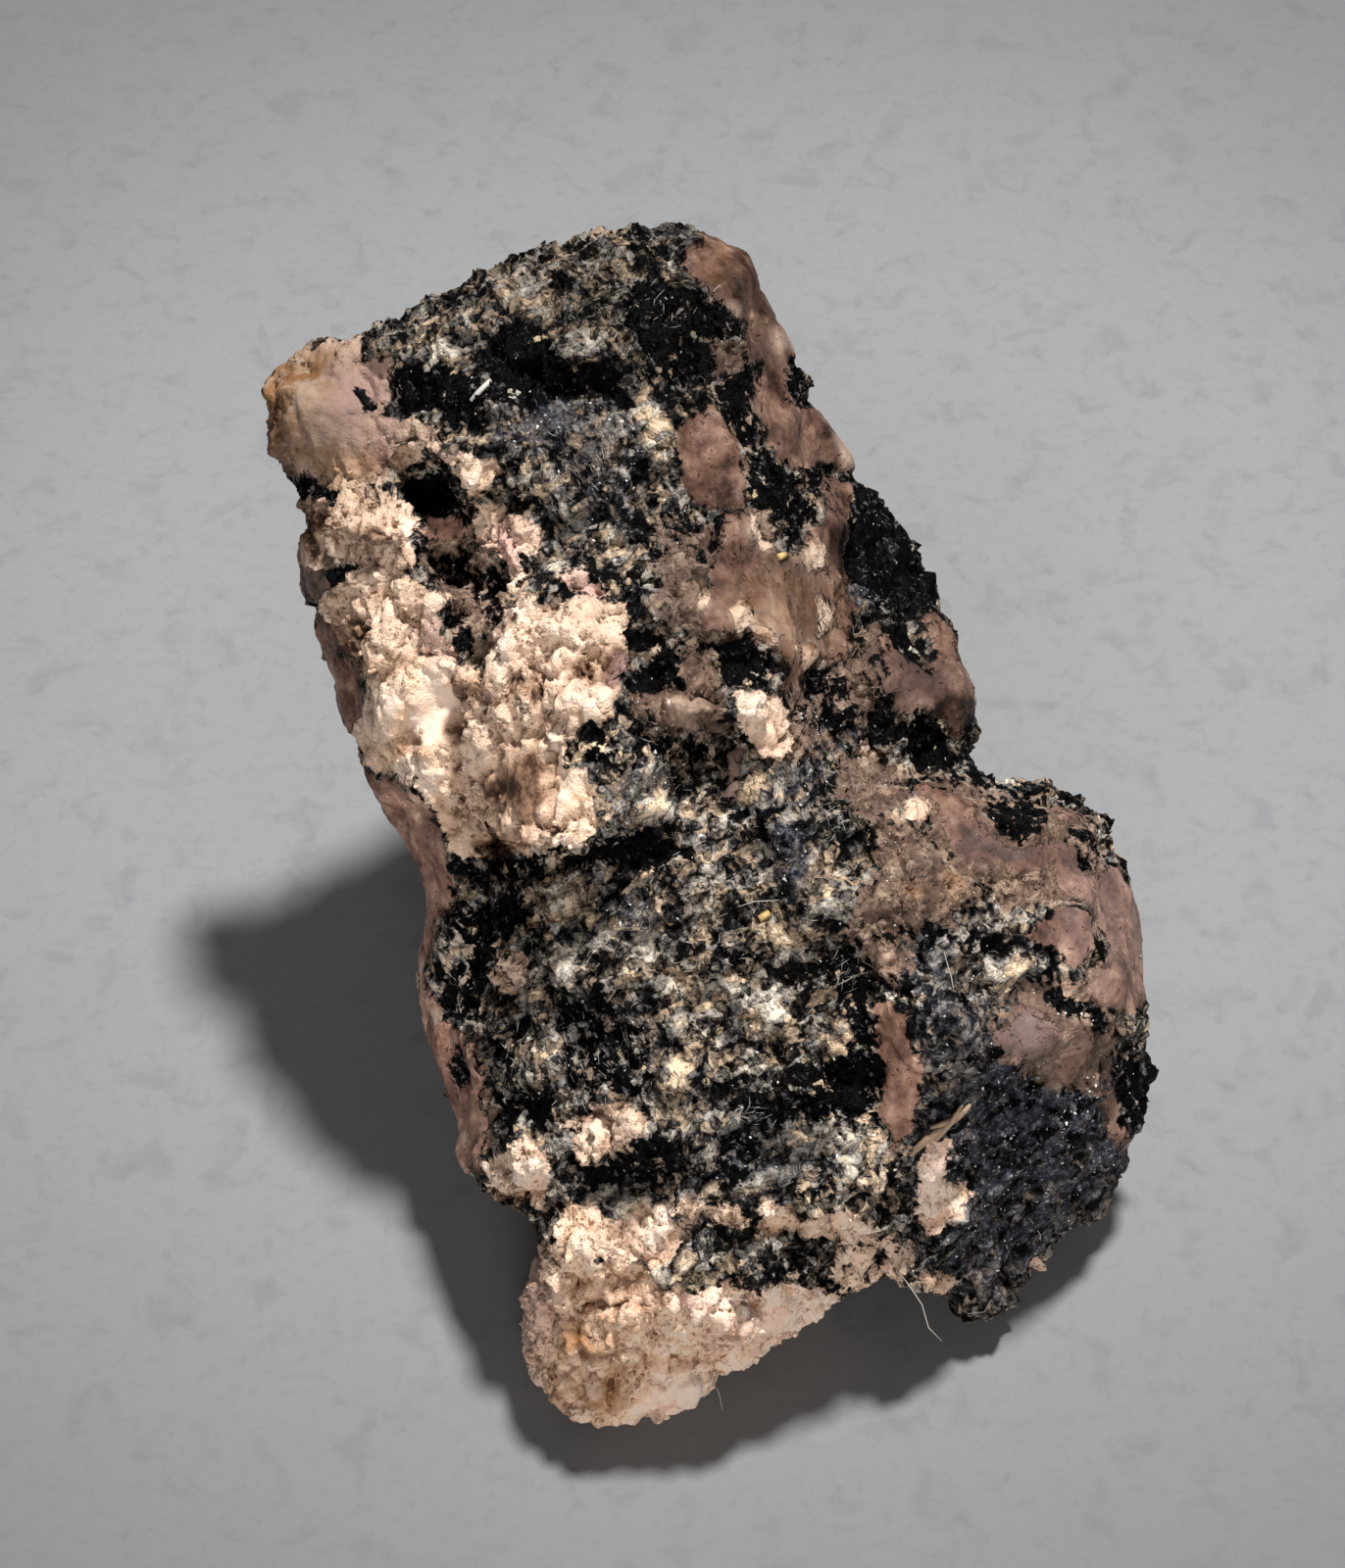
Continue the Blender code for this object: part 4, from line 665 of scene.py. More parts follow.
def flakesAt(tree, place, sizeMm, stretch, turn):
    # long cells lying along the face: tone and hue number of each, and distance to its edge
    lean, spin = math.radians(stoneLayout["lean"]), math.radians(turn)
    laid = Matrix.Rotation(lean, 3, "X") @ Matrix.Rotation(spin, 3, "Z")
    along = addNode(tree, "ShaderNodeMapping", vector_type="TEXTURE", in_Vector=place,
                    in_Rotation=tuple(laid.to_euler()), in_Scale=(stretch, 1.0, 1.0)).outputs[0]
    scale = 1000.0 / sizeMm
    cells = addNode(tree, "ShaderNodeTexVoronoi", in_Vector=along, in_Scale=scale)
    edges = addNode(tree, "ShaderNodeTexVoronoi", feature="DISTANCE_TO_EDGE", in_Vector=along,
                    in_Scale=scale)
    parts = addNode(tree, "ShaderNodeSeparateColor", in_0=cells.outputs["Color"])
    return parts.outputs[0], parts.outputs[1], edges.outputs["Distance"]


def stepUp(tree, value, low, high):
    made = addNode(tree, "ShaderNodeMapRange", interpolation_type="SMOOTHSTEP", in_Value=value,
                   in_From_Min=low, in_From_Max=high)
    return made.outputs["Result"]


def attributeAt(tree, name):
    return addNode(tree, "ShaderNodeAttribute", attribute_name=name).outputs["Fac"]


def swirl(tree, place, sizeMm, reachMm):
    # the same place pushed about by noise, so that shapes laid over it turn irregular
    push = addNode(tree, "ShaderNodeTexNoise", in_Vector=place, in_Scale=1000.0 / sizeMm, in_Detail=2.0)
    centred = vectorNode(tree, "SUBTRACT", in_0=push.outputs["Color"], in_1=(0.5, 0.5, 0.5))
    moved = vectorNode(tree, "MULTIPLY_ADD", in_0=centred.outputs[0], in_1=(reachMm * mm,) * 3,
                       in_2=place)
    return moved.outputs[0]


def toneRamp(tree, value, stops):
    made = addNode(tree, "ShaderNodeValToRGB", in_Fac=value)
    ramp = made.color_ramp.elements
    ramp[0].position, ramp[1].position = stops[0][0], stops[-1][0]
    ramp[0].color, ramp[1].color = (*stops[0][1], 1), (*stops[-1][1], 1)
    for position, colour in stops[1:-1]:
        ramp.new(position).color = (*colour, 1)
    return made.outputs["Color"]


def newMaterial(name, **values):
    material = bpy.data.materials.new(name)
    material.use_nodes = True
    shader = material.node_tree.nodes["Principled BSDF"]
    for key, value in values.items():
        shader.inputs[key.replace("_", " ")].default_value = value
    return material, material.node_tree, shader


# The stone's skin
skinFinish = {
    "grainTones": (  # from the black matrix to the palest grains
        (0.00, (0.0008, 0.0008, 0.0010)), (0.16, (0.0048, 0.0046, 0.0048)),
        (0.30, (0.0400, 0.0355, 0.0320)), (0.44, (0.130, 0.113, 0.098)), (0.58, (0.255, 0.218, 0.180)),
        (0.74, (0.400, 0.342, 0.275)), (0.90, (0.580, 0.500, 0.395)), (1.00, (0.74, 0.66, 0.53)),
    ),
    "greyGrain": (0.92, 0.97, 1.05),  # tints of some of the flakes
    "warmGrain": (1.10, 0.93, 0.76),
    "pinkTones": (  # from the shaded joints to the pale hearts of the crystals
        (0.00, (0.070, 0.036, 0.022)), (0.18, (0.260, 0.150, 0.096)), (0.36, (0.480, 0.318, 0.220)),
        (0.55, (0.665, 0.465, 0.340)), (0.75, (0.780, 0.572, 0.430)), (1.00, (0.88, 0.690, 0.545)),
    ),
    "creamTint": (1.0, 0.98, 0.90),
    "lilacTint": (0.560, 0.345, 0.300),
    "coatTones": (
        (0.00, (0.034, 0.018, 0.013)), (0.25, (0.093, 0.049, 0.035)), (0.50, (0.170, 0.095, 0.068)),
        (0.75, (0.270, 0.163, 0.118)), (1.00, (0.48, 0.34, 0.25)),
    ),
    "coatGrey": (0.155, 0.113, 0.107),
    "coatPale": (0.620, 0.480, 0.380),
    "hazeTones": (
        (0.00, (0.044, 0.029, 0.023)), (0.35, (0.140, 0.088, 0.064)), (0.65, (0.270, 0.182, 0.131)),
        (1.00, (0.52, 0.41, 0.30)),
    ),
    "pit": (0.014, 0.010, 0.009),
    "black": (0.0010, 0.0010, 0.0013),
    "paintedGlintOnBlack": (0.075, 0.072, 0.076),
    "paintedSheenTones": (
        (0.00, (0.006, 0.006, 0.009)), (0.40, (0.028, 0.029, 0.038)), (0.75, (0.075, 0.078, 0.095)),
        (1.00, (0.26, 0.26, 0.28)),
    ),
    "ochre": (0.44, 0.215, 0.090),
    "brightest": (0.86, 0.665, 0.535),
    "swirl": (0.7, 0.55),  # mm, size and reach of the irregularity of the flakes
    "longFlakes": (0.34, 2.2, 32),  # mm, stretch and turn in degrees
    "shortFlakes": (0.17, 2.4, 118),
    "blocks": (0.42, 1.3, 70),
    "coarse": (1.6, 3.0, 0.6, 0.4),  # mm, detail, roughness and warp of the noises
    "middle": (0.60, 3.0, 0.6, 0.3),
    "fine": (0.20, 2.0, 0.7, 0.3),
    "finest": (0.085, 2.0, 0.7),
    "pinkCloud": (1.0, 4.0, 0.62, 0.4),
    "creamCloud": (2.6, 3.0, 0.6),
    "coatCloud": (1.7, 5.0, 0.62, 0.6),
    "stainCloud": (0.8, 4.0, 0.6),
    "grainLevel": 0.33,  # mean place on each row of tones
    "pinkLevel": 0.69,
    "hazeLevel": 0.44,
    "coatLevel": 0.53,
    "sheenLevel": 0.46,
    "pinkEdge": (0.36, 0.54),  # where each finish starts and where it covers all
    "hazeEdge": (0.38, 0.56),
    "coatEdge": (0.38, 0.58),
    "blackEdge": (0.40, 0.58),
    "sheenEdge": (0.36, 0.54),
    "creamEdge": (0.55, 0.70),
    "stainEdge": (0.34, 0.60),
    "speckEdge": (0.655, 0.705),
    "pitEdge": (0.66, 0.74),
    "jointEdge": (0.36, 0.60),
    "roughness": 0.52,
    "bumpDepth": 0.00012,
}

skinFields = ("pink", "pale", "tan", "lilac", "coat", "haze", "black", "cream", "ochre", "sheen",
              "smooth", "ownTone", "lighterToneAndPaintedLight", "dim", "cellTone", "joint")


def makeSkin():
    f = skinFinish
    material, tree, shader = newMaterial("stoneSkin", IOR=1.45, Specular_IOR_Level=0.05)
    place = objectPlace(tree)
    (pink, pale, tan, lilac, coat, haze, black, cream, ochre, sheen, smooth,
     ownTone, lighterToneAndPaintedLight, dim, cellTone, joint) = (attributeAt(tree, name) for name in skinFields)

    def times(a, b):
        return mathNode(tree, "MULTIPLY", a, b)

    def plus(a, b):
        return mathNode(tree, "ADD", a, b)

    def minus(a, b):
        return mathNode(tree, "SUBTRACT", a, b)

    def around(a, reach):
        return times(minus(a, 0.5), reach)

    def step(value, edge):
        return stepUp(tree, value, *edge)

    def mix(share, a, b, blend="MIX"):
        return mixColour(tree, share, a, b, blend)

    def tones(level, row):
        return toneRamp(tree, level, f[row])

    rough = minus(1.0, smooth)

    # long crystal flakes of one tone each, in two directions and two sizes, over cloudy patches
    swirled = swirl(tree, place, *f["swirl"])
    long, longHue, longEdge = flakesAt(tree, swirled, *f["longFlakes"])
    short, shortHue, shortEdge = flakesAt(tree, swirled, *f["shortFlakes"])
    coarse = noiseAt(tree, place, *f["coarse"])
    middle = noiseAt(tree, swirled, *f["middle"])
    fine = noiseAt(tree, place, *f["fine"])
    finest = noiseAt(tree, place, *f["finest"])
    clouds = plus(around(coarse, 1.0), around(middle, 1.0))
    grained = plus(clouds, plus(around(long, 0.46), around(short, 0.40)))
    # painted shade: the grains are a little darker in the joints between crystals
    grained = plus(grained, minus(around(cellTone, 0.55), times(joint, 0.10)))
    grained = plus(grained, plus(around(fine, 0.6), around(finest, 0.2)))
    longSeams = times(step(longEdge, (0.10, 0.0)), 0.20)
    grained = minus(grained, plus(longSeams, times(step(shortEdge, (0.10, 0.0)), 0.12)))

    # black matrix with pale grains breaking through it, and in places a painted sheen: a blue-grey colour
    # with painted highlights for the gloss
    grainLevel = plus(plus(grained, f["grainLevel"]), plus(times(cream, 0.44), around(ownTone, 0.4)))
    grainTone = tones(plus(grainLevel, times(pale, 0.18)), "grainTones")
    greyed = mix(step(shortHue, (0.70, 0.78)), grainTone, f["greyGrain"], "MULTIPLY")
    grainTone = mix(step(longHue, (0.45, 0.60)), greyed, f["warmGrain"], "MULTIPLY")
    paintedSheenShare = times(sheen, times(step(plus(middle, around(long, 0.3)), f["sheenEdge"]), 0.85))
    paintedSheenLevel = plus(f["sheenLevel"], plus(around(middle, 1.3), around(fine, 2.4)))
    grainTone = mix(paintedSheenShare, grainTone, tones(paintedSheenLevel, "paintedSheenTones"))

    # pink crystals
    blocks, blockHue, _ = flakesAt(tree, swirled, *f["blocks"])
    pinkLevel = plus(f["pinkLevel"], around(noiseAt(tree, place, *f["pinkCloud"]), 0.8))
    crumbs = times(plus(0.35, times(rough, 0.65)), plus(around(blocks, 0.14), times(grained, 0.12)))
    pinkLevel = plus(pinkLevel, crumbs)
    pinkLevel = plus(pinkLevel, plus(around(ownTone, 0.25), around(cellTone, 0.34)))
    # tan patches, partly painted shade, darken the crystals; pale patches lighten them
    pinkLevel = plus(pinkLevel, minus(times(pale, 0.23), times(tan, 0.52)))
    # painted shade in the joints between crystals, most where the relief is rough
    jointShade = times(times(joint, step(middle, f["jointEdge"])), plus(0.08, times(rough, 0.34)))
    pinkTone = tones(minus(pinkLevel, jointShade), "pinkTones")
    creamy = step(plus(noiseAt(tree, place, *f["creamCloud"]), around(blockHue, 0.25)), f["creamEdge"])
    pinkTone = mix(creamy, pinkTone, f["creamTint"], "MULTIPLY")
    pinkTone = mix(times(lilac, 0.75), pinkTone, f["lilacTint"])
    pinkShare = step(plus(pink, times(grained, 0.38)), f["pinkEdge"])
    colour = mix(pinkShare, grainTone, pinkTone)
    specks = times(step(plus(fine, times(joint, 0.12)), f["speckEdge"]), plus(0.04, times(rough, 0.62)))
    colour = mix(times(specks, pinkShare), colour, f["pit"])

    # brown haze: some of the flakes under it still show
    hazeShare = step(plus(haze, plus(around(short, 0.5), around(middle, 0.9))), f["hazeEdge"])
    hazeShare = times(hazeShare, 0.88)
    hazeLevel = plus(f["hazeLevel"], plus(times(grained, 0.55), times(pale, 0.25)))
    colour = mix(hazeShare, colour, tones(hazeLevel, "hazeTones"))

    # the smooth coat lies over the grains, with ragged edges and gaps, and crystals stand through it
    coat = mathNode(tree, "SUBTRACT", coat, times(step(pink, (0.45, 0.70)), 0.75), clamp=True)
    coatShare = step(plus(coat, times(grained, 0.50)), f["coatEdge"])
    coatLevel = plus(f["coatLevel"], around(noiseAt(tree, place, *f["coatCloud"]), 2.1))
    coatLevel = plus(coatLevel, plus(around(middle, 0.9), around(fine, 0.5)))
    # painted shade in the joints on the coats too
    coatLevel = plus(coatLevel, minus(around(cellTone, 0.30), times(joint, 0.12)))
    coatLevel = plus(coatLevel, plus(minus(times(pale, 0.34), times(tan, 0.45)), around(ownTone, 0.3)))
    coatTone = tones(coatLevel, "coatTones")
    coatTone = mix(times(lilac, 0.5), coatTone, f["coatGrey"])
    coatTone = mix(times(pale, 0.5), coatTone, f["coatPale"])
    colour = mix(coatShare, colour, coatTone)
    pits = step(plus(fine, plus(around(middle, 0.4), times(joint, 0.05))), f["pitEdge"])
    colour = mix(times(times(pits, coatShare), 0.85), colour, f["pit"])

    # rust stains, then the bare black with its small painted glints; the black is also painted shade in
    # the vug, hollows, a crack and under the ledge
    stain = times(ochre, step(noiseAt(tree, place, *f["stainCloud"]), f["stainEdge"]))
    colour = mix(times(stain, 0.62), colour, f["ochre"])
    broken = minus(1.0, plus(times(grained, 0.90), around(middle, 1.6)))
    blackShare = step(times(black, broken), f["blackEdge"])
    # painted glints: light grey flecks in the black colour that stand in for glints of light
    paintedGlint = times(step(short, (0.72, 0.86)), step(plus(fine, times(sheen, 0.10)), (0.52, 0.64)))
    blackTone = mix(paintedGlint, f["black"], f["paintedGlintOnBlack"])
    colour = mix(times(blackShare, 0.995), colour, blackTone)

    # painted light and painted shade in places, and at the sides and back a random lighter and darker
    # tone
    lift = plus(1.0, minus(times(lighterToneAndPaintedLight, 0.6), times(dim, 0.52)))
    lifted = vectorNode(tree, "SCALE", in_0=colour, in_Scale=lift).outputs[0]
    capped = vectorNode(tree, "MINIMUM", in_0=lifted, in_1=f["brightest"]).outputs[0]
    feed(tree, shader.inputs["Base Color"], capped)

    roughness = minus(f["roughness"], times(step(fine, (0.44, 0.66)), 0.20))
    roughness = minus(roughness, plus(times(coatShare, 0.08), times(sheen, 0.14)))
    feed(tree, shader.inputs["Roughness"], roughness)

    # fine grit, least on coats and crystals
    grit = plus(times(middle, 0.6), plus(times(fine, 0.8), times(finest, 0.45)))
    bare = minus(1.0, plus(times(coatShare, 0.82), times(pinkShare, 0.10)))
    height = times(grit, plus(0.12, times(times(bare, 0.88), minus(1.0, times(smooth, 0.6)))))
    bump = addNode(tree, "ShaderNodeBump", in_Strength=1.0, in_Distance=f["bumpDepth"], in_Height=height)
    feed(tree, shader.inputs["Normal"], bump.outputs[0])
    return material


stoneShape = {
    "voxel": 0.125,  # mm, size of the finest facets
    "smoothing": 8,
    "chips": ((1.5, 0.20), (0.75, 0.20)),  # size and tilt of the flat chips in the matrix
    "crystals": (  # size, tilt and standing height
        (1.30, 0.32, 0.24), (0.60, 0.32, 0.14), (0.34, 0.26, 0.07),
    ),
    "grow": (1.15, 0.76, 1.0),  # crystals are longer up the face
    "wobble": (0.8, 0.16),  # size and reach of the bends in their edges
    "crack": 0.26,  # width of the joints between crystals, as a share of their size
    "matrixCrack": 0.06,  # depth of the joints that go on in the matrix
    "grains": 0.20,  # how far pale grains stand out of the matrix
    "grit": (0.60, 0.08),  # size and height of the rough grain between the chips
    "flatten": {"smooth": 0.85, "coat": 0.8, "gloss": 0.45},  # share of the relief each takes away
    "coatRise": 0.06,
    "coatSwell": (1.1, 0.12),  # size and height of the swells on coats and gloss
    "paleRise": 0.14,
    "blackDrop": 0.12,
    "restBlend": 0.6,  # height in mm over which the relief fades to the flat rest face
    "split": 0.6,  # face depth in mm where the front piece ends
    "foot": 8.0,  # height in mm where the foot ends behind it
}


def refine(source):
    # a closer-grained copy of the faceted stone
    work = putInScene("stoneWork", source.data.copy())
    grain = work.modifiers.new("grain", "REMESH")
    grain.mode = "VOXEL"
    grain.voxel_size = stoneShape["voxel"] * mm
    ease = work.modifiers.new("ease", "SMOOTH")
    ease.factor = 0.5
    ease.iterations = stoneShape["smoothing"]
    work.modifiers.new("triangles", "TRIANGULATE")
    graph = bpy.context.evaluated_depsgraph_get()
    fine = bpy.data.meshes.new_from_object(work.evaluated_get(graph))
    bpy.data.objects.remove(work)
    return fine


def readMesh(mesh):
    points = np.empty(len(mesh.vertices) * 3, np.float32)
    mesh.vertices.foreach_get("co", points)
    triangles = np.empty(len(mesh.polygons) * 3, np.int32)
    mesh.polygons.foreach_get("vertices", triangles)
    normals = np.empty(len(mesh.vertices) * 3, np.float32)
    mesh.vertex_normals.foreach_get("vector", normals)
    points, normals = (values.reshape(-1, 3).astype(float) for values in (points, normals))
    return points, triangles.reshape(-1, 3), normals


def crystalCells(p):
    # tone of each crystal, the joints between them, their relief, and a tone of the smallest alone
    s = stoneShape
    size, reach = s["wobble"]
    wobble = np.stack([layeredNoise(p, size, 150 + k, 2) for k in range(3)], axis=1) * reach
    tone, joints, relief = 0.0, np.zeros(len(p)), 0.0
    for k, (size, tilt, stand) in enumerate(s["crystals"]):
        offset, number, border = cellNoise(p + wobble, size, 140 + 20 * k)
        joint = 1 - easedStep(border, 0.0, s["crack"])
        slope = facetRise(offset, number, number * 44.0) * tilt * size
        relief = relief + slope - joint * stand * (0.4 + number)
        joints = np.maximum(joints, joint * (1.0 - 0.33 * k))
        tone = tone + number / len(s["crystals"])
    return tone, joints, relief, number


def chipHeight(p):
    # flat chips in the matrix
    total = 0
    for k, (size, tilt) in enumerate(stoneShape["chips"]):
        offset, number, _ = cellNoise(p, size, 100 + k * 10)
        total = total + facetRise(offset, number, number * 2 * math.pi * 7.0) * tilt * size
    return total


def roughen(points, normals, fields):
    p = points / mm
    s = stoneShape
    flatten = s["flatten"]
    smooth = np.clip(fields["smooth"], 0, 1)
    coat = np.clip((fields["coat"] - 0.2) * 2.5, 0, 1)
    pink = np.clip(fields["pink"] * 1.3, 0, 1)
    glossy = np.clip(fields["sheen"], 0, 1) * (1 - pink)
    tone, joints, crystals, fineTone = crystalCells(toFace(points) * s["grow"])
    size, rise = s["grit"]
    matrix = chipHeight(p) + layeredNoise(p, size, 160, 3) * rise
    matrix = matrix + (fineTone - 0.5) * s["grains"] - joints * s["matrixCrack"]
    height = matrix * (1 - pink) + crystals * pink * (1 - flatten["smooth"] * smooth)
    height = height * (1 - flatten["coat"] * coat) * (1 - flatten["gloss"] * glossy)
    size, rise = s["coatSwell"]
    swelling = np.maximum(np.maximum(coat, smooth * 0.7), glossy * 1.6)
    height = height + layeredNoise(p, size, 180, 2) * rise * swelling
    height += s["coatRise"] * easedStep(fields["coat"], 0.4, 0.6)
    sunk = s["blackDrop"] * np.clip(fields["black"] * 1.5, 0, 1)
    height += s["paleRise"] * np.clip(fields["pale"], 0, 1) - sunk
    height *= np.clip(p[:, 2] / s["restBlend"], 0, 1)
    moved = points + normals * (height * mm)[:, None]
    moved[:, 2] = np.maximum(moved[:, 2], 0.0)
    fields["cellTone"], fields["joint"] = tone, joints
    return moved


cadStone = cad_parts[stoneLayout["node"]]
stonePoints, stoneTriangles, stoneNormals = readMesh(refine(cadStone))
stoneFields = finishFields(stonePoints, stoneNormals)
print("finishes laid out")
stonePoints = roughen(stonePoints, stoneNormals, stoneFields)
print("stone surface:", len(stoneTriangles), "triangles")

skin = makeSkin()


def cutPiece(name, keep, material):
    # the stone's triangles that keep marks, as their own piece
    used, index = np.unique(stoneTriangles[keep], return_inverse=True)
    mesh = newMesh(name, stonePoints[used], index.reshape(-1, 3), flat=False)
    for field, values in stoneFields.items():
        addAttribute(mesh, field, values[used])
    addAttribute(mesh, "ownTone", np.full(len(used), 0.5))
    return showPiece(name, mesh, material)


triangleMiddle = stonePoints[stoneTriangles].mean(axis=1)
isFront = toFace(triangleMiddle)[:, 2] > stoneShape["split"]
isFoot = ~isFront & (triangleMiddle[:, 2] < stoneShape["foot"] * mm)
stoneFront = cutPiece("stoneFront", isFront, skin)
stoneBack = cutPiece("stoneBack", ~isFront & ~isFoot, skin)
stoneFoot = cutPiece("stoneFoot", isFoot, skin)
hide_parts(stoneLayout["node"])
for piece in (stoneFront, stoneBack, stoneFoot):
    print(piece.name, "has", len(piece.data.polygons), "triangles")

# Grains that stand on the skin and take its finish
grainKinds = {  # sizes in mm
    "matrixGrains": {"count": 8000, "size": (0.045, 0.14), "stretch": 1.5, "seed": 5, "form": "crystal"},
    "pinkGrains": {"count": 1000, "size": (0.045, 0.110), "stretch": 1.6, "seed": 7, "form": "block"},
    "coatFlakes": {"count": 350, "size": (0.030, 0.080), "stretch": 1.6, "seed": 9, "form": "crystal"},
    "paintedGlints": {"count": 1800, "size": (0.020, 0.060), "stretch": 2.2, "seed": 13, "form": "crystal"},
}
grainSunk = 0.10  # share of a grain's size that is sunk in the skin

grainForms = {  # corners and faces
    "crystal": (
        np.array([(1, 0, 0), (-1, 0, 0), (0, 1, 0), (0, -1, 0), (0, 0, 1), (0, 0, -1)], float),
        np.array([
            (0, 2, 4), (2, 1, 4), (1, 3, 4), (3, 0, 4), (2, 0, 5), (1, 2, 5), (3, 1, 5), (0, 3, 5),
        ]),
    ),
    "block": (
        np.array([(x, y, z) for x in (-0.8, 0.8) for y in (-0.8, 0.8) for z in (-0.8, 0.8)], float),
        np.array([
            (0, 1, 3), (0, 3, 2), (4, 6, 7), (4, 7, 5), (0, 4, 5), (0, 5, 1),
            (2, 3, 7), (2, 7, 6), (0, 2, 6), (0, 6, 4), (1, 5, 7), (1, 7, 3),
        ]),
    ),
}


def randomTurns(rng, count):
    q = rng.normal(size=(count, 4))
    q /= np.linalg.norm(q, axis=1)[:, None]
    w, x, y, z = q.T
    return np.stack([
        np.stack([1 - 2 * (y * y + z * z), 2 * (x * y - z * w), 2 * (x * z + y * w)], axis=1),
        np.stack([2 * (x * y + z * w), 1 - 2 * (x * x + z * z), 2 * (y * z - x * w)], axis=1),
        np.stack([2 * (x * z - y * w), 2 * (y * z + x * w), 1 - 2 * (x * x + y * y)], axis=1),
    ], axis=1)


def scatter(rng, wanted, weight):
    # points on the skin, more where weight is larger
    a, b, c = (stonePoints[stoneTriangles[:, k]] for k in range(3))
    cross = np.cross(b - a, c - a)
    share = np.linalg.norm(cross, axis=1) / 2 * weight
    share /= share.sum()
    pick = rng.choice(len(share), wanted, p=share)
    u, v = rng.random(wanted), rng.random(wanted)
    fold = u + v > 1
    u[fold], v[fold] = 1 - u[fold], 1 - v[fold]
    spot = a[pick] + (b[pick] - a[pick]) * u[:, None] + (c[pick] - a[pick]) * v[:, None]
    out = cross[pick] / np.maximum(np.linalg.norm(cross[pick], axis=1), 1e-12)[:, None]
    return spot, out, pick


def onTriangles(name):
    return stoneFields[name][stoneTriangles].mean(axis=1)


def makeGrains(name, weight, material=skin):
    k = grainKinds[name]
    count = k["count"]
    rng = np.random.default_rng(k["seed"])
    spot, out, pick = scatter(rng, count, weight)
    corners, faces = grainForms[k["form"]]
    low, high = k["size"]
    size = low + (high - low) * rng.random(count) ** 2
    longer = (rng.random((count, 3)) - 0.3) * (k["stretch"] - 1) * np.array([1.6, 0.3, -0.3])
    shape = corners[None] * (0.85 + 0.3 * rng.random((count, len(corners), 1)))
    shape = shape * (1 + longer)[:, None, :] * size[:, None, None]
    shape = np.einsum("nij,nkj->nki", randomTurns(rng, count), shape) * mm
    spot = spot - out * (size * grainSunk * mm)[:, None]
    points = (shape + spot[:, None, :]).reshape(-1, 3)
    points[:, 2] = np.maximum(points[:, 2], 0.0)
    triangles = (faces[None] + (np.arange(count) * len(corners))[:, None, None]).reshape(-1, 3)
    mesh = newMesh(name, points, triangles)
    for field in stoneFields:
        addAttribute(mesh, field, np.repeat(onTriangles(field)[pick], len(corners)))
    addAttribute(mesh, "ownTone", np.repeat(rng.random(count), len(corners)))
    return showPiece(name, mesh, material)


def makePaintedGlintFinish():
    # painted glints: small clean faces whose pale colour stands in for glints of light, each a little
    # lighter or darker
    material, tree, shader = newMaterial("paintedGlintFinish", Roughness=0.25, Specular_IOR_Level=0.5)
    tone = stepUp(tree, attributeAt(tree, "ownTone"), 0.0, 1.0)
    feed(tree, shader.inputs["Base Color"], mixColour(tree, tone, (0.10, 0.10, 0.11), (0.78, 0.76, 0.72)))
    return material


# Where each kind lies: none by the rest face, fewer behind, on coats and on smooth places
pinkHere, coatHere, glossHere = (onTriangles(name) for name in ("pink", "coat", "sheen"))
bare = np.where(triangleMiddle[:, 2] < 0.2 * mm, 0.0, 1.0) * np.where(isFront, 1.0, 0.5)
dry = np.clip(1 - coatHere * 2.2, 0, 1) * np.clip(1 - onTriangles("smooth"), 0, 1)
dry = dry * np.clip(1.1 - glossHere, 0.12, 1)
# weight for the painted glints: most on blue-grey glossy places, none on coats and crystals
dark = 0.2 - 0.1 * onTriangles("black") + glossHere * 1.5 - 2 * np.maximum(coatHere, pinkHere)
makeGrains("matrixGrains", bare * dry * np.clip(1.05 - pinkHere, 0.03, 1))
makeGrains("pinkGrains", bare * dry * pinkHere ** 2 + 1e-6)
makeGrains("coatFlakes", bare * np.clip(coatHere, 0, 1) + 1e-6)
makeGrains("paintedGlints", bare * np.clip(dark, 0, 2) + 1e-6, makePaintedGlintFinish())
print("grains scattered")


# Threads, needles and loose chips that lie on the face: sizes in mm, paths in face x and y
looseBits = {
    "hairs": {
        "width": 0.017, "colour": (0.50, 0.46, 0.41), "roughness": 0.5, "clear": 0.05,
        "paths": [
            [(6.3, -13.1), (6.7, -13.6), (7.1, -14.2), (7.3, -14.9), (7.7, -15.3)],
            [(8.2, -14.5), (8.7, -14.85), (9.2, -14.8), (9.4, -14.4)],
            [(9.6, -12.1), (9.9, -12.8), (9.9, -13.4)], [(4.4, -4.4), (4.8, -4.2), (5.2, -3.8)],
            [(7.5, -3.4), (7.7, -4.1), (7.8, -4.8)], [(0.8, -16.7), (1.0, -17.1), (1.1, -17.6)],
            [(1.5, -2.1), (2.0, -1.95), (2.7, -1.9)], [(10.6, -11.9), (11.0, -12.5), (11.1, -13.2)],
        ],
    },
    "whiteRod": {
        "width": 0.100, "colour": (0.70, 0.68, 0.62), "roughness": 0.4, "clear": 0.08,
        "paths": [[(-6.35, 12.75), (-6.1, 13.0), (-5.75, 13.35)]],
    },
    "strawChip": {
        "width": 0.100, "colour": (0.50, 0.34, 0.22), "roughness": 0.6, "clear": 0.16,
        "paths": [
            [(6.6, -9.5), (6.9, -9.2), (7.3, -8.85), (7.7, -8.6), (8.1, -8.3), (8.4, -8.0)],
            [(6.7, -9.3), (7.1, -8.95), (7.4, -8.95), (7.8, -8.5), (8.1, -8.05)],
            [(7.2, -8.65), (7.7, -8.5), (8.2, -8.2)],
        ],
    },
    "yellowGrains": {
        "width": 0.19, "colour": (0.66, 0.47, 0.18), "roughness": 0.5, "clear": 0.10,
        "paths": [[(2.12, -2.45), (2.42, -2.28)], [(2.72, 8.2), (2.9, 8.28)]],
    },
}

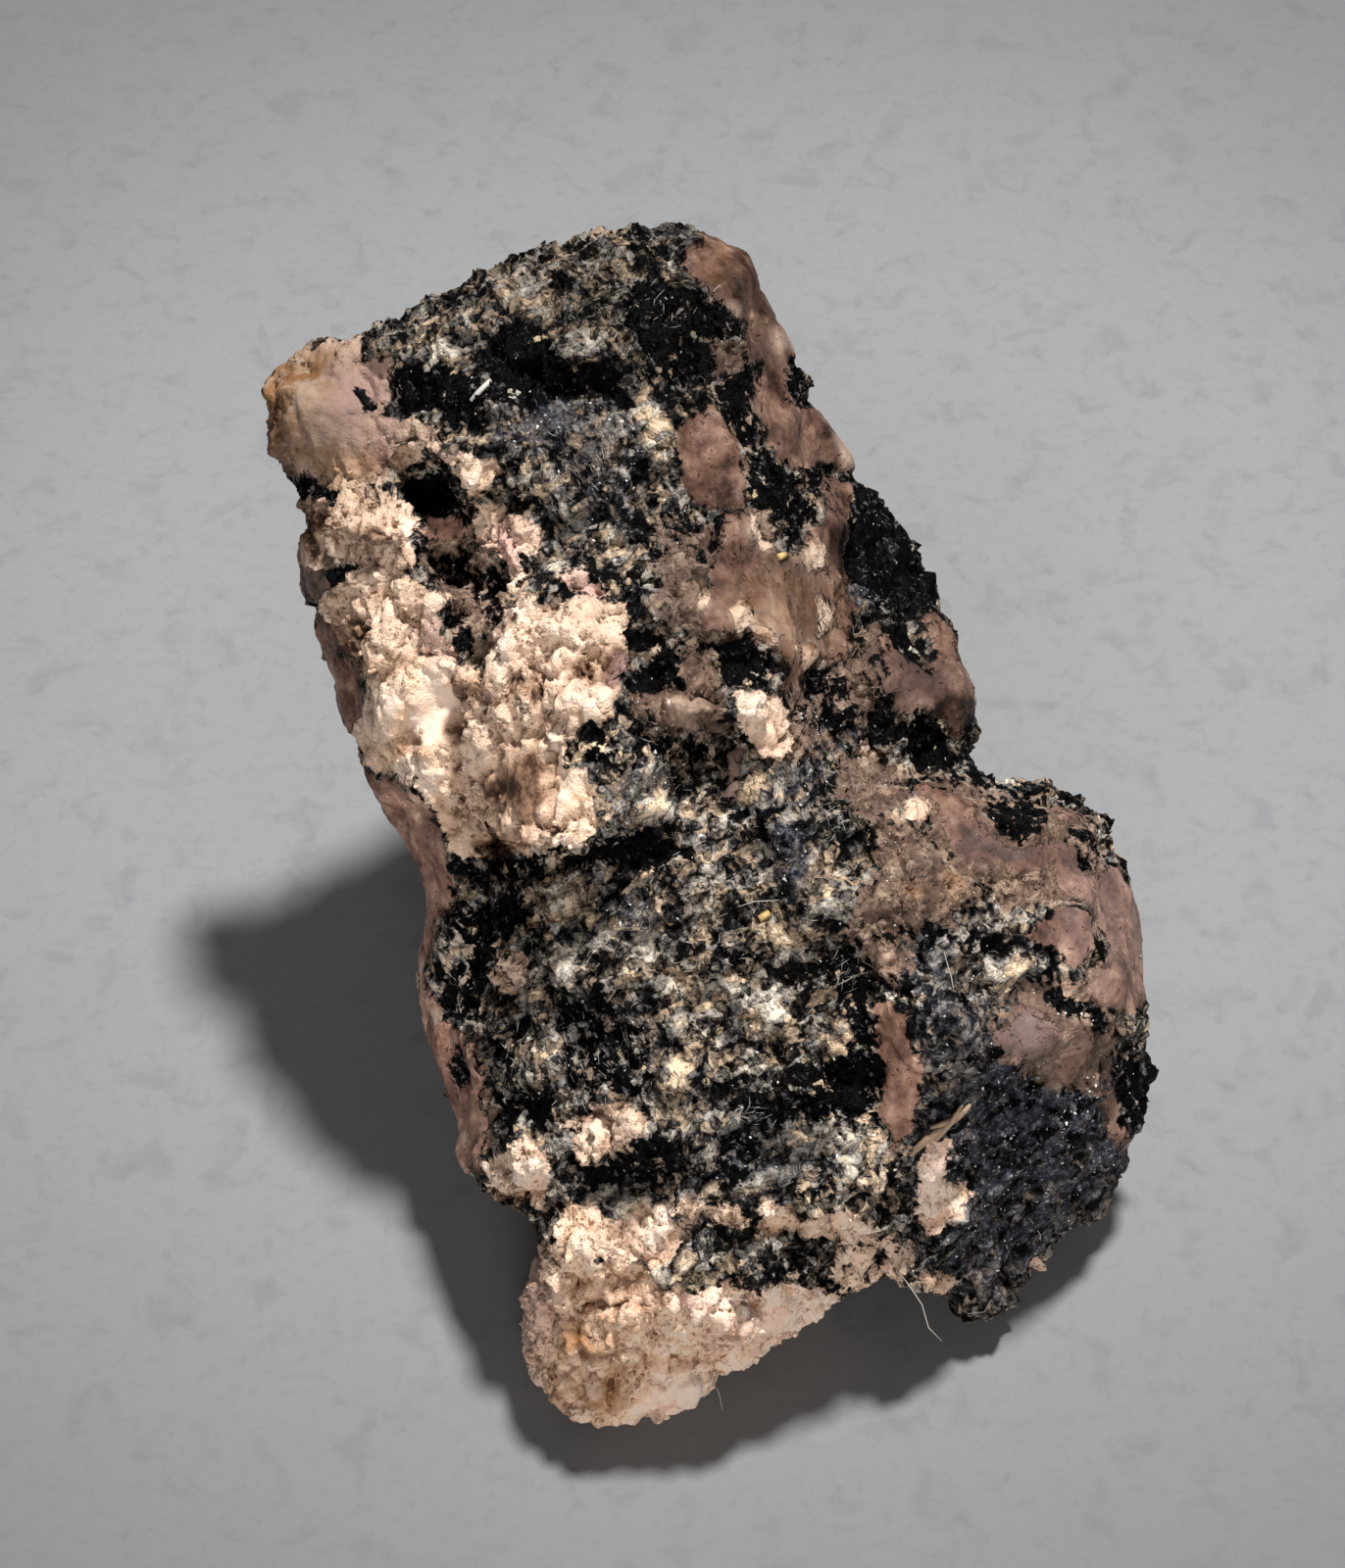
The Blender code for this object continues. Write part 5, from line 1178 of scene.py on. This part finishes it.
needleTufts = {
    "places": [  # middle x and y, reach in x and y, how many, the way they point
        (4.2, 0.5, 0.7, 0.9, 26, 60), (2.0, -8.2, 0.7, 0.4, 20, 25), (4.7, -4.2, 0.7, 0.6, 21, 50),
        (5.6, -9.4, 0.6, 0.9, 20, 80), (3.4, -10.2, 1.2, 0.5, 15, 70), (-5.2, -7.0, 0.8, 0.9, 20, 100),
        (-2.4, -6.9, 1.6, 1.2, 27, 110), (-0.9, 2.0, 1.6, 0.8, 15, 20), (5.3, 1.2, 1.0, 0.9, 15, 120),
        (-3.4, 10.6, 2.0, 1.8, 36, 115), (7.4, -9.0, 0.7, 0.8, 10, 45), (0.6, -3.4, 3.0, 2.4, 54, 35),
        (9.0, -4.2, 1.6, 0.5, 14, 160), (-2.0, 15.6, 3.4, 1.6, 36, 60),
    ],
    "spread": 32,  # degrees either way
    "lift": (-0.10, 0.22),  # mm that one end stands above the other end
    "length": (0.20, 0.55), "width": 0.010, "colour": (0.46, 0.43, 0.38), "roughness": 0.4, "seed": 21,
}

faceTree = BVHTree.FromPolygons(toFace(stonePoints).tolist(), stoneTriangles.tolist())


def faceHeight(x, y, missing):
    # height of the surface seen from in front at a point of the flat layout
    hit = faceTree.ray_cast(Vector((x, y, 30.0)), Vector((0, 0, -1)))[0]
    return hit.z if hit and hit.z > missing - 2.5 else missing


def tubeMesh(name, paths, width):
    points, triangles = [], []
    sides = 6
    for path in paths:
        path = np.asarray(path, float)
        steps = np.gradient(path, axis=0)
        steps /= np.linalg.norm(steps, axis=1)[:, None]
        start = len(points)
        for k, (spot, way) in enumerate(zip(path, steps)):
            side = np.cross(way, (0.3, 0.2, 0.93))
            side /= np.linalg.norm(side)
            up = np.cross(side, way)
            thick = width * (0.55 if k in (0, len(path) - 1) else 1.0)
            for s in range(sides):
                a = 2 * math.pi * s / sides
                points.append(spot + (side * math.cos(a) + up * math.sin(a)) * thick)
        for k in range(len(path) - 1):
            for s in range(sides):
                a, b = start + k * sides + s, start + k * sides + (s + 1) % sides
                triangles += [(a, b, b + sides), (a, b + sides, a + sides)]
        last = start + (len(path) - 1) * sides
        for s in range(1, sides - 1):
            triangles += [(start, start + s + 1, start + s), (last, last + s, last + s + 1)]
    return newMesh(name, toWorld(np.array(points)), np.array(triangles), flat=False)


def showThreads(name, finishName, look, paths, toneOf, shade):
    # one piece of tubes whose colour darkens in spots
    material, tree, shader = newMaterial(finishName, Roughness=look["roughness"], Specular_IOR_Level=0.3)
    tone = toneOf(tree, objectPlace(tree))
    dark = tuple(c * shade for c in look["colour"])
    feed(tree, shader.inputs["Base Color"], mixColour(tree, tone, dark, look["colour"]))
    showPiece(name, tubeMesh(name, paths, look["width"]), material)


def makeLooseBits():
    def spots(tree, place):
        return noiseAt(tree, place, 0.25)

    for name, bits in looseBits.items():
        paths = []
        for path in bits["paths"]:
            lifted, height = [], 0.0
            for k, (x, y) in enumerate(path):
                height = faceHeight(x, y, height if k else -9.0)
                lifted.append((x, y, height + bits["clear"]))
            paths.append(lifted)
        showThreads(name, name + "Finish", bits, paths, spots, 0.62)


def makeNeedles():
    def spots(tree, place):
        return stepUp(tree, noiseAt(tree, place, 0.5), 0.35, 0.65)

    n = needleTufts
    rng = np.random.default_rng(n["seed"])
    paths = []
    for x, y, reachX, reachY, count, way in n["places"]:
        for _ in range(count):
            at = np.array([x + rng.normal(0, 0.5) * reachX, y + rng.normal(0, 0.5) * reachY])
            turn = math.radians(way + rng.normal(0, n["spread"]))
            half = np.array([math.cos(turn), math.sin(turn)]) * rng.uniform(*n["length"]) / 2
            height = faceHeight(at[0], at[1], -9.0)
            tip = rng.uniform(*n["lift"])
            middle = at + rng.normal(0, 0.03, 2)
            paths.append([
                (*(at - half), height + 0.02 - tip),
                (*middle, height + 0.06),
                (*(at + half), height + 0.03 + tip),
            ])
    showThreads("needles", "needleFinish", n, paths, spots, 0.3)


makeLooseBits()
makeNeedles()
print("threads and needles laid")


# Table, camera and light
tableTop = {  # metres, except the sizes of the mottles
    "half": 0.6,
    "near": 0.250, "far": 0.150,  # greys by the stone and away from it: a painted pool of light, lighter by the stone and darker further out
    "middle": (0.0, 0.0165), "paintedFalloff": (0.018, 0.050),
    "cloud": (9.0, 4.0, 0.6), "cloudShare": 0.10, "cloudTone": (0.10, 0.10, 0.10),
    "mottles": ((1.6, 0.20), (0.5, 0.13)),  # mm and strength
    "mottleTone": (0.085, 0.090, 0.102),
}


def makeTable():
    t = tableTop
    h = t["half"]
    mesh = newMesh("table", [(-h, -h, 0), (h, -h, 0), (h, h, 0), (-h, h, 0)], [(0, 1, 2), (0, 2, 3)])
    piece = putInScene("table", mesh)
    material, tree, shader = newMaterial("tableTop", Roughness=0.8, Specular_IOR_Level=0.2)
    place = objectPlace(tree)
    near, far = t["near"], t["far"]
    # painted pool of light: lighter near the middle, fading darker further out
    away = vectorNode(tree, "DISTANCE", in_0=place, in_1=(*t["middle"], 0))
    paintedFalloff = stepUp(tree, away.outputs["Value"], *t["paintedFalloff"])
    tone = mixColour(tree, paintedFalloff, (near, near, near * 1.01), (far, far, far * 1.02))
    cloudy = mathNode(tree, "MULTIPLY", noiseAt(tree, place, *t["cloud"]), t["cloudShare"])
    tone = mixColour(tree, cloudy, tone, t["cloudTone"])
    for size, share in t["mottles"]:
        blotch = stepUp(tree, noiseAt(tree, place, size, 3.0, 0.6, 0.6), 0.50, 0.72)
        tone = mixColour(tree, mathNode(tree, "MULTIPLY", blotch, share), tone, t["mottleTone"])
    feed(tree, shader.inputs["Base Color"], tone)
    mesh.materials.append(material)


def makeCamera():
    data = bpy.data.cameras.new("faceCamera")
    data.lens = viewSetup["lens"]
    data.sensor_width = 36.0
    data.clip_start = 0.01
    camera = putInScene("faceCamera", data)
    x, y, z = viewSetup["aim"]
    camera.location = toWorld([(x, y, z + viewSetup["distance"])])[0]
    camera.rotation_euler = (math.radians(stoneLayout["lean"]), 0, 0)
    bpy.context.scene.camera = camera


lamps = {  # direction from the stone, distance and size in metres, power in watts
    "mainLamp": {"towards": (0.15, 0.20, 1.0), "distance": 0.55, "size": 0.060, "power": 4.8},
    "frontLamp": {"towards": (0.05, -1.0, 0.25), "distance": 0.60, "size": 0.300, "power": 1.70},
}
roomLight = {"colour": (0.95, 0.96, 1.0, 1.0), "strength": 0.150}


def makeLamp(name):
    k = lamps[name]
    data = bpy.data.lights.new(name, "AREA")
    data.shape = "DISK"
    data.size = k["size"]
    data.energy = k["power"]
    lamp = putInScene(name, data)
    towards = Vector(k["towards"]).normalized()
    lamp.location = towards * k["distance"]
    lamp.rotation_euler = towards.to_track_quat("Z", "Y").to_euler()


def makeRoom():
    world = bpy.data.worlds.new("softRoom")
    world.use_nodes = True
    background = world.node_tree.nodes["Background"]
    background.inputs["Color"].default_value = roomLight["colour"]
    background.inputs["Strength"].default_value = roomLight["strength"]
    bpy.context.scene.world = world
    bpy.context.scene.view_settings.view_transform = "Standard"


makeTable()
makeCamera()
for lampName in lamps:
    makeLamp(lampName)
makeRoom()
print("table, camera and light ready")
